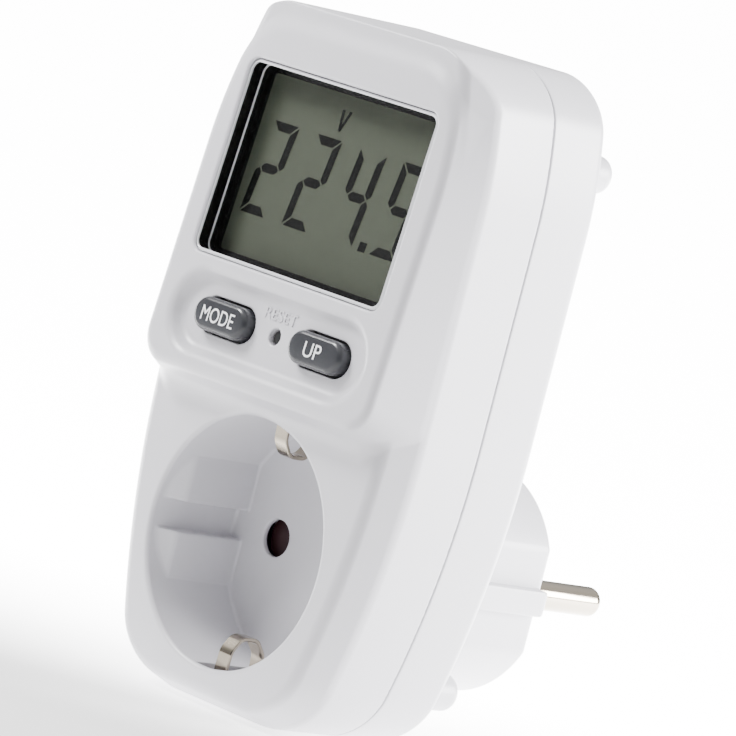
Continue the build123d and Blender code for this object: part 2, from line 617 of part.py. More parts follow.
# ---------------------------------------------------------------- keys and switches
def key_cap(x):
    """Obround cap with a retaining flange behind the recess floor and a stem on the switch."""
    centre = Pos(x, KEY_ROW)
    cap = stacked(centre * SlotOverall(KEY_LENGTH, KEY_HEIGHT), -KEY_CROWN, KEY_FLANGE_AT)
    cap = fillet(cap.edges().group_by(Axis.Y)[0], KEY_ROUND)
    flange = SlotOverall(KEY_LENGTH + 2 * KEY_FLANGE_MARGIN, KEY_HEIGHT + 2 * KEY_FLANGE_MARGIN)
    cap += stacked(centre * flange, KEY_FLANGE_AT, KEY_FLANGE_AT + KEY_FLANGE)
    return cap + stacked(round_at(x, KEY_ROW, KEY_STEM_RADIUS), KEY_FLANGE_AT, PLUNGER_TOP)


def reset_button():
    """Recessed round button, pressed with a pin through its hole."""
    top = RECESS_DEPTH + RESET_RECESS
    button = stacked(round_at(0, KEY_ROW, RESET_RADIUS), top, PLUNGER_TOP)
    flange = round_at(0, KEY_ROW, RESET_FLANGE_RADIUS)
    return button + stacked(flange, KEY_FLANGE_AT, KEY_FLANGE_AT + KEY_FLANGE)


def switch_body(x):
    """Square tactile switch body, bored for its plunger, with room for the travel."""
    body = stacked(box_at(x, KEY_ROW, SWITCH_SIZE, SWITCH_SIZE), SWITCH_TOP, BOARD_DEPTH)
    well_end = SWITCH_TOP + PLUNGER_ROOT + 2 * KEY_TRAVEL
    well = round_at(x, KEY_ROW, PLUNGER_RADIUS + PLUNGER_CLEARANCE)
    return body - stacked(well, SWITCH_TOP - OVERSHOOT, well_end)


def switch_plunger(x):
    """Round plunger that the key's stem pushes into the switch."""
    return stacked(round_at(x, KEY_ROW, PLUNGER_RADIUS), PLUNGER_TOP, SWITCH_TOP + PLUNGER_ROOT)


# ---------------------------------------------------------------- current path
def plug_pin(side):
    """Round plug pin with a domed tip, a neck in the plug's face, a collar and a rear stub."""
    x = side * PIN_X
    pin = prism(round_at(x, 0, PIN_RADIUS), PLUG_FACE, PLUG_FACE + PIN_LENGTH)
    pin = fillet(pin.edges().group_by(Axis.Y)[-1], PIN_TIP_ROUND)
    pin += prism(round_at(x, 0, PIN_NECK_RADIUS), PIN_SEAT_BACK, PLUG_FACE)
    pin += prism(round_at(x, 0, PIN_COLLAR_RADIUS), PIN_SEAT_BACK - PIN_COLLAR_LENGTH, PIN_SEAT_BACK)
    return pin + prism(round_at(x, 0, PIN_STUB_RADIUS), PIN_BACK, PIN_SEAT_BACK - PIN_COLLAR_LENGTH)


def outlet_contact(side):
    """Split spring sleeve that grips the appliance plug's pin."""
    x = side * PIN_X
    tube = Circle(CONTACT_OUTER) - Circle(CONTACT_BORE_RADIUS)
    slit = box_at(0, -CONTACT_OUTER, CONTACT_SLIT, 2 * (CONTACT_WALL + CONTACT_GAP))
    sleeve = prism(Pos(x, 0) * (tube - slit), CONTACT_FRONT, CONTACT_BACK - CONTACT_BASE)
    return sleeve + prism(round_at(x, 0, CONTACT_OUTER), CONTACT_BACK - CONTACT_BASE, CONTACT_BACK)


def neutral_link():
    """Straight link block between the neutral contact and the neutral pin."""
    link = box_at(-PIN_X, 0, LINK_THICKNESS * 2, LINK_WIDTH)
    return prism(link, CONTACT_BACK, PIN_BACK)


def shunt_link():
    """Bowed resistance strip between the live contact and the live pin."""
    x = PIN_X - SHUNT_BULGE
    path = FilletPolyline(
        (x, CONTACT_BACK + LINK_THICKNESS / 2),
        (x + 2 * SHUNT_BULGE, CONTACT_BACK + LINK_THICKNESS / 2),
        (x + 2 * SHUNT_BULGE, PIN_BACK - LINK_THICKNESS / 2),
        (x, PIN_BACK - LINK_THICKNESS / 2),
        radius=SHUNT_BEND,
    )
    return extrude(trace(path, LINK_THICKNESS), amount=LINK_WIDTH / 2, both=True)


# ---------------------------------------------------------------- earth path
def earth_strap_upper():
    """One strip: sprung arch in the outlet, run behind the well, then the plug's side contact."""
    arch = (ARCH_TIP, ARCH_SHOULDER, ARCH_CREST, ARCH_HEEL, ARCH_FOOT)
    path = FilletPolyline(
        *[(CASE_FRONT + depth, WELL_RADIUS - reach) for depth, reach in arch],
        (CASE_FRONT + ARCH_END_DEPTH, STRAP_OUTSIDE),
        (STRAP_CROSSING, STRAP_OUTSIDE),
        (STRAP_CROSSING, SIDE_CONTACT_RADIUS),
        (PLUG_FACE - SIDE_CONTACT_END, SIDE_CONTACT_RADIUS),
        radius=STRAP_BEND,
    )
    ribbon = trace(path, STRAP_THICKNESS)
    side_view = Plane(origin=(0, 0, 0), x_dir=(0, 1, 0), z_dir=(1, 0, 0))
    return extrude(side_view * ribbon, amount=STRAP_WIDTH / 2, both=True)


def earth_bridge():
    """Flat strip across the case that joins the two earth straps."""
    reach = 2 * (SIDE_CONTACT_RADIUS - STRAP_THICKNESS / 2)
    strip = Rectangle(EARTH_BRIDGE_WIDTH, reach)
    return prism(strip, EARTH_BRIDGE_BACK - STRAP_THICKNESS, EARTH_BRIDGE_BACK)


# ---------------------------------------------------------------- shutter
def shutter():
    """Two-armed lever that hides both pin holes and turns about the post between them."""
    hub = Circle(SHUTTER_HUB_RADIUS) + Rectangle(PIN_SPACING, SHUTTER_ARM_WIDTH)
    for side in (1, -1):
        hub += round_at(side * PIN_X, 0, SHUTTER_PAD_RADIUS)
    hub -= Circle(SHUTTER_POST_RADIUS + SHUTTER_BORE_CLEARANCE)
    return prism(hub, SHUTTER_FRONT, SHUTTER_BACK)


def shutter_spring():
    """Return spring about the post, drawn as the closed ring that its coils fill."""
    inner = SHUTTER_POST_RADIUS + SPRING_WIRE
    ring = Circle(inner + SPRING_WIRE) - Circle(inner)
    return prism(ring, SPRING_FRONT, SPRING_FRONT + SPRING_TURNS_HEIGHT)


def shutter_retainer():
    """Push-on cap that ends the post."""
    cap = Circle(RETAINER_RADIUS) - Circle(SHUTTER_POST_TIP_RADIUS)
    return prism(cap, RETAINER_FRONT, RETAINER_FRONT + RETAINER_THICKNESS)


# ---------------------------------------------------------------- electronics
def power_board():
    """Supply board on the rear wall's stand-offs."""
    height = POWER_BOARD_TOP - POWER_BOARD_BOTTOM
    board = box_at(0, POWER_BOARD_BOTTOM + height / 2, POWER_BOARD_WIDTH, height)
    return prism(board, POWER_BOARD_FRONT, POWER_BOARD_BACK)


def on_power_board(sketch, height):
    """Component standing on the front of the power board."""
    return prism(sketch, POWER_BOARD_FRONT - height, POWER_BOARD_FRONT)


def x2_capacitor():
    width, height, depth = X2_SIZE
    return on_power_board(box_at(*X2_AT, width, height, X2_CORNER), depth)


def electrolytic_capacitor():
    return on_power_board(round_at(*ELECTROLYTIC_AT, ELECTROLYTIC_RADIUS), ELECTROLYTIC_HEIGHT)


def varistor():
    """Coated disc standing on edge on its rim."""
    x, z = VARISTOR_AT
    centre = Pos(x, POWER_BOARD_FRONT - VARISTOR_RADIUS, z)
    return centre * Cylinder(VARISTOR_RADIUS, VARISTOR_THICKNESS)


def fuse():
    return on_power_board(round_at(*FUSE_AT, FUSE_RADIUS), FUSE_HEIGHT)


def backup_cell():
    """Round cell lying across the power board."""
    x, z = CELL_AT
    centre = Pos(x, POWER_BOARD_FRONT - CELL_RADIUS, z)
    return centre * Rot(0, 90, 0) * Cylinder(CELL_RADIUS, CELL_LENGTH)


def metering_chip():
    width, height, thickness = CHIP_SIZE
    return stacked(box_at(*CHIP_AT, width, height), BOARD_BACK, BOARD_BACK + thickness)


def clock_crystal():
    """Small can lying on the back of the display board."""
    x, z = CRYSTAL_AT
    can = Plane(stack_plane(BOARD_BACK + CRYSTAL_RADIUS).location * Pos(x, z, 0) * Rot(0, 90, 0))
    return extrude(can * Circle(CRYSTAL_RADIUS), amount=CRYSTAL_LENGTH / 2, both=True)


def supply_leads():
    """Insulated leads from the two outlet contacts up to the power board."""
    leads = []
    for side in (1, -1):
        x = side * PIN_X
        start = CONTACT_OUTER
        depth = POWER_BOARD_BACK - BOARD_THICKNESS / 2
        path = Line((x, depth, start), (x, depth, POWER_BOARD_BOTTOM))
        section = Plane(origin=(x, depth, start), z_dir=(0, 0, 1)) * Circle(LEAD_RADIUS)
        leads.append(sweep(section, path=path))
    return Compound(leads)


def board_link():
    """Pin strip between the two boards: one insulating block and its pins."""
    x, z = BOARD_LINK_AT
    length = LINK_PIN_COUNT * LINK_PIN_PITCH
    strip = on_power_board(box_at(x, z, length, LINK_BLOCK), LINK_BLOCK)
    for index in range(LINK_PIN_COUNT):
        pin_x = x + (index - (LINK_PIN_COUNT - 1) / 2) * LINK_PIN_PITCH
        strip += on_power_board(box_at(pin_x, z, LINK_PIN_SIZE, LINK_PIN_SIZE), link_pin_length())
    return strip


def link_pin_length():
    """Free length of the link pins between the two boards."""
    board_back = stack_plane(BOARD_BACK)
    height = BOARD_LINK_AT[1] - LINK_PIN_SIZE / 2
    slope = tan(radians(PLATEAU_TILT))
    back_at_pins = board_back.origin.Y + (height - board_back.origin.Z) * slope
    return POWER_BOARD_FRONT - back_at_pins - LINK_PIN_SIZE * slope


# ---------------------------------------------------------------- case screws
def case_screws():
    """Four screws from the rear into the front housing's posts."""
    screws = []
    seat = CASE_BACK - COUNTERBORE_DEPTH
    for x, z in mirrored_pairs(UPPER_SCREWS, LOWER_SCREWS):
        screw = prism(round_at(x, z, SCREW_HEAD_RADIUS), seat, seat + SCREW_HEAD_HEIGHT)
        screws.append(screw + prism(round_at(x, z, SCREW_RADIUS), SEAM - SCREW_ENGAGEMENT, seat))
    return Compound(screws)


# ---------------------------------------------------------------- all sub-parts
os.makedirs("parts", exist_ok=True)
KEY_X = {"mode": -KEY_SPACING / 2, "reset": 0.0, "up": KEY_SPACING / 2}

write(front_housing(), "front_housing")
write(rear_housing(), "rear_housing")
write(display_window(), "display_window")
write(lcd_holder(), "lcd_holder")
write(lcd_panel(), "lcd_panel")
write(zebra_strip(), "zebra_strip")
write(display_board(), "display_board")
write(board_screws(), "board_screws")
write(key_cap(KEY_X["mode"]), "mode_button")
write(key_cap(KEY_X["up"]), "up_button")
write(reset_button(), "reset_button")
for key, key_x in KEY_X.items():
    write(switch_body(key_x), f"{key}_switch")
    write(switch_plunger(key_x), f"{key}_plunger")
write(metering_chip(), "metering_chip")
write(clock_crystal(), "clock_crystal")
write(plug_pin(1), "plug_pin_live")
write(plug_pin(-1), "plug_pin_neutral")
write(outlet_contact(1), "contact_live")
write(outlet_contact(-1), "contact_neutral")
write(shunt_link(), "shunt_link")
write(neutral_link(), "neutral_link")
strap = earth_strap_upper()
write(strap, "earth_strap_upper")
write(mirror(strap, about=Plane.XY), "earth_strap_lower")
write(earth_bridge(), "earth_bridge")
write(shutter(), "shutter")
write(shutter_spring(), "shutter_spring")
write(shutter_retainer(), "shutter_retainer")
write(power_board(), "power_board")
write(x2_capacitor(), "x2_capacitor")
write(electrolytic_capacitor(), "electrolytic_capacitor")
write(varistor(), "varistor")
write(fuse(), "fuse")
write(backup_cell(), "backup_cell")
write(board_link(), "board_link")
write(supply_leads(), "supply_leads")
write(case_screws(), "case_screws")
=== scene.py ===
import json
import logging
import math
from dataclasses import dataclass
from enum import Enum
from typing import Callable

import bmesh
import bpy
import numpy as np
from mathutils import Matrix, Vector


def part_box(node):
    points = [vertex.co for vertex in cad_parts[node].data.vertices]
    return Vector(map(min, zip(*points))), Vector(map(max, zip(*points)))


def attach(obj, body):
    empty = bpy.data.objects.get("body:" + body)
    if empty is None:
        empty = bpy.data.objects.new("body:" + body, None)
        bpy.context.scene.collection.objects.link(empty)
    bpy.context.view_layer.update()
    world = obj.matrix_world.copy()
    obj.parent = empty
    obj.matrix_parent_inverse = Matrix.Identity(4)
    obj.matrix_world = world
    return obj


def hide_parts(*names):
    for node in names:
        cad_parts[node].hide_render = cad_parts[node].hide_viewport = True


# Plug-in power meter. Lengths are millimetres until a mesh is made, and metres after that. The
# axes are the frame's own: +Y is the way the plug goes into the wall, +Z is up along the case.

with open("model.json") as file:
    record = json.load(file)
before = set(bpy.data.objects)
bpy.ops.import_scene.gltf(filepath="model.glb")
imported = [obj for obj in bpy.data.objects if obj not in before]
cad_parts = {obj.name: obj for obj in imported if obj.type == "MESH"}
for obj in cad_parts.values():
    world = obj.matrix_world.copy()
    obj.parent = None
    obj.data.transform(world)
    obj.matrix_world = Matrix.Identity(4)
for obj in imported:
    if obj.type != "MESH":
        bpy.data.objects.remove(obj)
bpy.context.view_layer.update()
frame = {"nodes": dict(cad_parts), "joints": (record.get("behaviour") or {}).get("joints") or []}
LOG = logging.getLogger("meter")
MM = 0.001
BODY = "meter"

Points = np.ndarray
FieldFunction = Callable[[Points, Points, Points], Points]


# ---------------------------------------------------------------- sizes read from the frame
def low(node: str) -> Vector:
    """Lowest corner of a CAD node's box, in millimetres."""
    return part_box(node)[0] / MM


def high(node: str) -> Vector:
    """Highest corner of a CAD node's box, in millimetres."""
    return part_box(node)[1] / MM


def press_direction() -> Vector:
    """Direction in which the keys travel, which is square to the display plateau."""
    joint = next(j for j in frame["joints"] if j["name"] == "mode_press")
    return Vector(joint["axis"]).normalized()


@dataclass(frozen=True)
class Datum:
    """Places that every sub-assembly shares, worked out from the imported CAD."""

    half_width: float = high("front_housing").x
    bottom: float = low("front_housing").z
    top: float = high("front_housing").z
    plateau_foot_front: float = low("front_housing").y
    lip_height: float = 1.6
    plug_face: float = high("rear_housing").y
    boss_length: float = 22.9
    case_depth: float = 28.9
    wall: float = 2.2
    bevel_depth: float = 5.3
    well_depth: float = 17.5
    plateau_foot: float = 23.5
    key_row: float = 32.7
    window_centre: float = 57.08
    pin_place: float = 9.5
    upper_screw_place: float = 14.0
    upper_screw_inset: float = 5.0
    lower_screw_place: float = 13.6
    lower_screw_inset: float = 7.3
    screw_seat: float = 6.5
    margin: float = 1.0

    @property
    def seam(self) -> float:
        """Depth at which the two housings meet."""
        return low("rear_housing").y + self.lip_height

    @property
    def back(self) -> float:
        """Depth of the case's rear face."""
        return self.plug_face - self.boss_length

    @property
    def front(self) -> float:
        """Depth of the case's flat front face, around the outlet."""
        return self.back - self.case_depth

    @property
    def tilt(self) -> float:
        """Lean of the display plateau, in radians."""
        axis = press_direction()
        return math.atan2(-axis.z, axis.y)

    @property
    def stack_origin(self) -> float:
        """Depth at which the plateau's plane crosses the outlet's axis."""
        return self.plateau_foot_front - self.plateau_foot * math.tan(self.tilt)


D = Datum()


# ---------------------------------------------------------------- distance fields
def round_and(a: Points, b: Points, radius: float | Points) -> Points:
    """Meeting of two solids whose outside edge is rounded.

    Args:
        a: Signed distance to the first solid, negative inside.
        b: Signed distance to the second solid.
        radius: Edge radius, above zero.

    Returns:
        The signed distance to what both solids share.
    """
    return np.minimum(-radius, np.maximum(a, b)) + np.hypot(
        np.maximum(a + radius, 0.0), np.maximum(b + radius, 0.0)
    )


def round_or(a: Points, b: Points, radius: float | Points) -> Points:
    """Union of two solids with a fillet of the given radius in the corner between them."""
    return -round_and(-a, -b, radius)


def round_cut(a: Points, b: Points, radius: float) -> Points:
    """Solid a with solid b cut out of it, and the rim of the cut rounded."""
    return round_and(a, -b, radius)


def disc(x: Points, z: Points, radius: float) -> Points:
    """Signed distance to a circle about the origin of x and z."""
    return np.hypot(x, z) - radius


def slot(x: Points, z: Points, length: float, height: float) -> Points:
    """Signed distance to a lying obround of the given overall length and height."""
    return np.hypot(np.maximum(np.abs(x) - (length - height) / 2, 0.0), z) - height / 2


def panel(x: Points, z: Points, width: float, height: float, corner: float) -> Points:
    """Signed distance to a rectangle with round corners."""
    return round_and(np.abs(x) - width / 2, np.abs(z) - height / 2, corner)


def screw_columns(x: Points, z: Points, radius: float) -> Points:
    """Signed distance to round columns about the case screws, for x above zero."""
    upper = disc(x - D.upper_screw_place, z - D.top + D.upper_screw_inset, radius)
    return np.minimum(upper, disc(x - D.lower_screw_place, z - D.bottom - D.lower_screw_inset, radius))


def smooth_step(value: Points, start: float, end: float) -> Points:
    """0 before start, 1 after end, and smooth between them."""
    t = np.clip((value - start) / (end - start), 0.0, 1.0)
    return t * t * (3 - 2 * t)


@dataclass(frozen=True)
class CaseForm:
    """Outer form of the case, as signed distances in millimetres."""

    lower_side_radius: float = 144.0
    upper_side_radius: float = 69.0
    straight_from: float = 25.0
    straight_to: float = 58.0
    lower_corner: float = 9.5
    upper_corner: float = 8.0
    bevel_side: float = 3.0
    bevel_bottom: float = 2.4
    bevel_edge: float = 0.45
    front_edge: float = 1.3
    plateau_side: float = 3.4
    plateau_top: float = 3.8
    plateau_run: float = 6.18
    plateau_foot_corner: float = 4.0
    plateau_base_corner: float = 7.0
    plateau_edge: float = 1.1
    plateau_fillet: float = 2.2
    least_fillet: float = 0.02
    fillet_from: float = 0.6
    fillet_to: float = 7.0
    least_reach: float = 1.0

    def flank(self, x: Points, z: Points) -> Points:
        """Distance to the flanks, which lean in along large arcs towards both ends."""
        below = np.hypot(x + self.lower_side_radius - D.half_width, np.minimum(z - self.straight_from, 0.0))
        above = np.hypot(x + self.upper_side_radius - D.half_width, np.maximum(z - self.straight_to, 0.0))
        lower, upper = below - self.lower_side_radius, above - self.upper_side_radius
        return np.where(z < self.straight_from, lower, upper)

    def outline(self, x: Points, z: Points, inset: float = 0.0) -> Points:
        """Front view of the case, moved in by an inset."""
        flank = self.flank(x, z) + inset
        lower = round_and(flank, D.bottom - z + inset, self.lower_corner - inset)
        return round_and(lower, z - D.top + inset, self.upper_corner - inset)

    def block(self, x: Points, y: Points, z: Points) -> Points:
        """Case around the outlet, with its bevelled sides and soft front edge."""
        lift = (D.front + D.bevel_depth - y) / D.bevel_depth
        corner = self.lower_corner - self.bevel_side * np.clip(lift, 0.0, 1.0)
        side = (self.flank(x, z) + self.bevel_side * lift) / math.hypot(1.0, self.bevel_side / D.bevel_depth)
        base = (D.bottom - z + self.bevel_bottom * lift) / math.hypot(1.0, self.bevel_bottom / D.bevel_depth)
        return round_and(round_and(side, base, corner), D.front - y, self.front_edge)

    def plateau(self, x: Points, y: Points, z: Points) -> Points:
        """Tapered and tilted display plateau, which grows out of the case's upper part."""
        base = D.front + D.bevel_depth
        plane = D.stack_origin + z * math.tan(D.tilt)
        reach = np.maximum(base - plane, self.least_reach)
        lift = (base - y) / reach
        rise = np.clip(lift, 0.0, 1.0)
        side = (self.flank(x, z) + self.plateau_side * lift) / np.hypot(1.0, self.plateau_side / reach)
        top = (z - D.top + self.plateau_top * lift) / np.hypot(1.0, self.plateau_top / reach)
        foot = D.plateau_foot - self.plateau_run * (1.0 - lift) - z
        foot = foot / np.hypot(1.0, self.plateau_run / reach)
        growth = self.plateau_foot_corner - self.plateau_base_corner
        lower = round_and(side, foot, self.plateau_base_corner + growth * rise)
        around = round_and(lower, top, self.upper_corner - self.plateau_side / 2 * rise)
        return round_and(around, (plane - y) * math.cos(D.tilt), self.plateau_edge)

    def body(self, x: Points, y: Points, z: Points) -> Points:
        """Whole outer form in front of the seam."""
        inside = smooth_step(-self.flank(x, z), self.fillet_from, self.fillet_to)
        fillet = self.least_fillet + self.plateau_fillet * inside
        joined = round_or(self.block(x, y, z), self.plateau(x, y, z), fillet)
        return round_and(joined, self.outline(x, z), self.bevel_edge)


@dataclass(frozen=True)
class FrontHousing:
    """White front shell: outlet well, display window and key recess, as one moulding."""

    form: CaseForm = CaseForm()
    step: float = 0.3
    quick_step: float = 0.55
    keep: float = 0.3
    seam_edge: float = 0.22
    well_radius: float = 19.75
    well_wall: float = 1.8
    well_floor: float = 2.0
    well_rim: float = 0.7
    pin_hole: float = 2.95
    lug_face: float = 17.1
    lug_start: float = 1.4
    lug_ramp: float = 2.6
    lug_half_height: float = 9.9
    lug_groove: float = 4.8
    recess_length: float = 45.6
    recess_height: float = 13.6
    recess_depth: float = 2.05
    recess_ramp: float = 1.6
    recess_wall: float = 1.6
    recess_fillet: float = 0.6
    recess_rim: float = 0.7
    recess_drop: float = 0.1
    lug_edge: float = 0.3
    lug_end_edge: float = 0.45
    key_gap: float = 0.3
    slot_width: float = 4.4
    slot_from: float = 1.0
    slot_to: float = 13.6
    pocket_clearance: float = 0.1
    pocket_depth: float = 10.8
    post_radius: float = 2.0
    post_length: float = 4.1
    well_fillet: float = 0.6
    lug_root: float = 0.35
    key_flange: float = 0.9
    key_height: float = 5.3
    reset_hole: float = 1.3
    key_hole_edge: float = 0.2
    screw_post: float = 2.6
    pocket_height: float = 34.6
    pocket_corner: float = 1.1
    rib: float = 1.0
    rib_depth: float = 5.0
    rib_edge: float = 0.3
    window: tuple[float, float, float] = (44.45, 31.4, 2.1)
    window_edge: float = 0.4
    pin_hole_depth: float = 1.5
    pin_hole_edge: float = 0.25
    slot_inner: float = 17.95
    slot_outer: float = 21.75
    slot_edge: float = 0.15

    def stack(self, y: Points, z: Points) -> tuple[Points, Points]:
        """Height along the plateau and depth below it, from depth and height in the frame."""
        dy = y - D.stack_origin
        cos, sin = math.cos(D.tilt), math.sin(D.tilt)
        return dy * sin + z * cos, dy * cos - z * sin

    def well(self, x: Points, y: Points, z: Points) -> Points:
        """Outlet well as a round recess with a filleted floor."""
        return round_and(disc(x, z, self.well_radius), y - D.front - D.well_depth, self.well_fillet)

    def lug(self, x: Points, y: Points, z: Points) -> Points:
        """Guide lug on the well's flank, ramped at its mouth and split for the plug's rib."""
        start = D.front + self.lug_start
        rise = self.well_radius - self.lug_face
        slope = math.hypot(1.0, rise / self.lug_ramp)
        ramp = (self.well_radius - rise * (y - start) / self.lug_ramp - x) / slope
        wedge = round_and(self.lug_face - x, ramp, self.lug_end_edge)
        height = np.abs(z)
        wedge = round_and(wedge, height - self.lug_half_height, self.lug_end_edge)
        wedge = round_and(wedge, self.lug_groove / 2 - height, self.lug_edge)
        return np.maximum(wedge, disc(x, z, self.well_radius + self.well_wall / 2))

    def key_holes(self, x: Points, up: Points) -> Points:
        """Obround key openings and the small round reset opening."""
        box = high("mode_button") - low("mode_button")
        centre = high("up_button").x - box.x / 2
        length, height = box.x - 2 * self.key_flange + 2 * self.key_gap, self.key_height + 2 * self.key_gap
        key = slot(x - centre, up - D.key_row, length, height)
        return np.minimum(key, disc(x, up - D.key_row, self.reset_hole))

    def tube(self, x: Points, y: Points, z: Points) -> Points:
        """Well tube with its closed end, and the post behind it that the shutter turns on."""
        back = D.front + D.well_depth + self.well_floor
        tube = np.maximum(disc(x, z, self.well_radius + self.well_wall), y - back)
        return np.minimum(tube, np.maximum(disc(x, z, self.post_radius), y - back - self.post_length))

    def cavity(self, x: Points, y: Points, z: Points) -> Points:
        """Hollow behind the walls, less the well tube, the recess pad and the screw posts."""
        up, deep = self.stack(y, z)
        inner = self.form.body(x, y, z) + D.wall
        grow = 2 * (self.recess_wall - self.recess_ramp)
        above_row = up - D.key_row + self.recess_drop
        pad = slot(x, above_row, self.recess_length + grow, self.recess_height + grow)
        pad = np.maximum(pad, deep - self.recess_depth - self.recess_wall)
        posts = screw_columns(x, z, self.screw_post)
        inner = np.maximum(np.maximum(inner, -self.tube(x, y, z)), np.maximum(-pad, -posts))
        holder = high("lcd_holder") - low("lcd_holder")
        width = holder.x + 2 * self.pocket_clearance
        pocket = panel(x, up - D.window_centre, width, self.pocket_height, self.pocket_corner)
        rib = round_and(pocket - self.rib, deep - self.rib_depth, self.rib_edge)
        inner = np.maximum(inner, -rib)
        return np.minimum(inner, np.maximum(pocket, np.maximum(D.wall - deep, deep - self.pocket_depth)))

    def field(self, x: Points, y: Points, z: Points) -> Points:
        """Signed distance to the whole moulding, for x of either sign."""
        x = np.abs(x)
        up, deep = self.stack(y, z)
        solid = self.form.body(x, y, z)
        solid = round_cut(solid, self.well(x, y, z), self.well_rim)
        solid = round_or(solid, self.lug(x, y, z), self.lug_root)
        wall = slot(x, up - D.key_row + self.recess_drop, self.recess_length, self.recess_height)
        slope = self.recess_ramp / self.recess_depth
        wall = (wall + slope * deep) / math.hypot(1.0, slope)
        recess = round_and(wall, deep - self.recess_depth, self.recess_fillet)
        solid = round_cut(solid, recess, self.recess_rim)
        solid = round_cut(solid, panel(x, up - D.window_centre, *self.window), self.window_edge)
        solid = round_cut(solid, self.key_holes(x, up), self.key_hole_edge)
        base = D.front + D.well_depth
        hole = np.maximum(disc(x - D.pin_place, z, self.pin_hole), base - self.pin_hole_depth - y)
        solid = round_cut(solid, hole, self.pin_hole_edge)
        mouth = D.front + (self.slot_from + self.slot_to) / 2
        earth = np.maximum(x - self.slot_width / 2, np.abs(y - mouth) - (self.slot_to - self.slot_from) / 2)
        earth = np.maximum(earth, self.slot_inner - np.abs(z))
        earth = np.maximum(earth, np.abs(z) - self.slot_outer)
        solid = round_cut(solid, earth, self.slot_edge)
        solid = np.maximum(solid, -self.cavity(x, y, z))
        return round_and(solid, np.minimum(y - D.seam, self.tube(x, y, z)), self.seam_edge)

    def build(self) -> bpy.types.Object:
        """Makes the shell's mesh and lets it stand for the CAD housing."""
        lowest = (-D.half_width - D.margin, D.plateau_foot_front - D.margin, D.bottom - D.margin)
        highest = (D.half_width + D.margin, D.seam + D.margin, D.top + D.margin)
        step = self.step
        piece = contour("front_shell", self.field, lowest, highest, step, self.keep)
        return place(piece, WHITE_ABS, BODY, "white_abs", "front_housing")


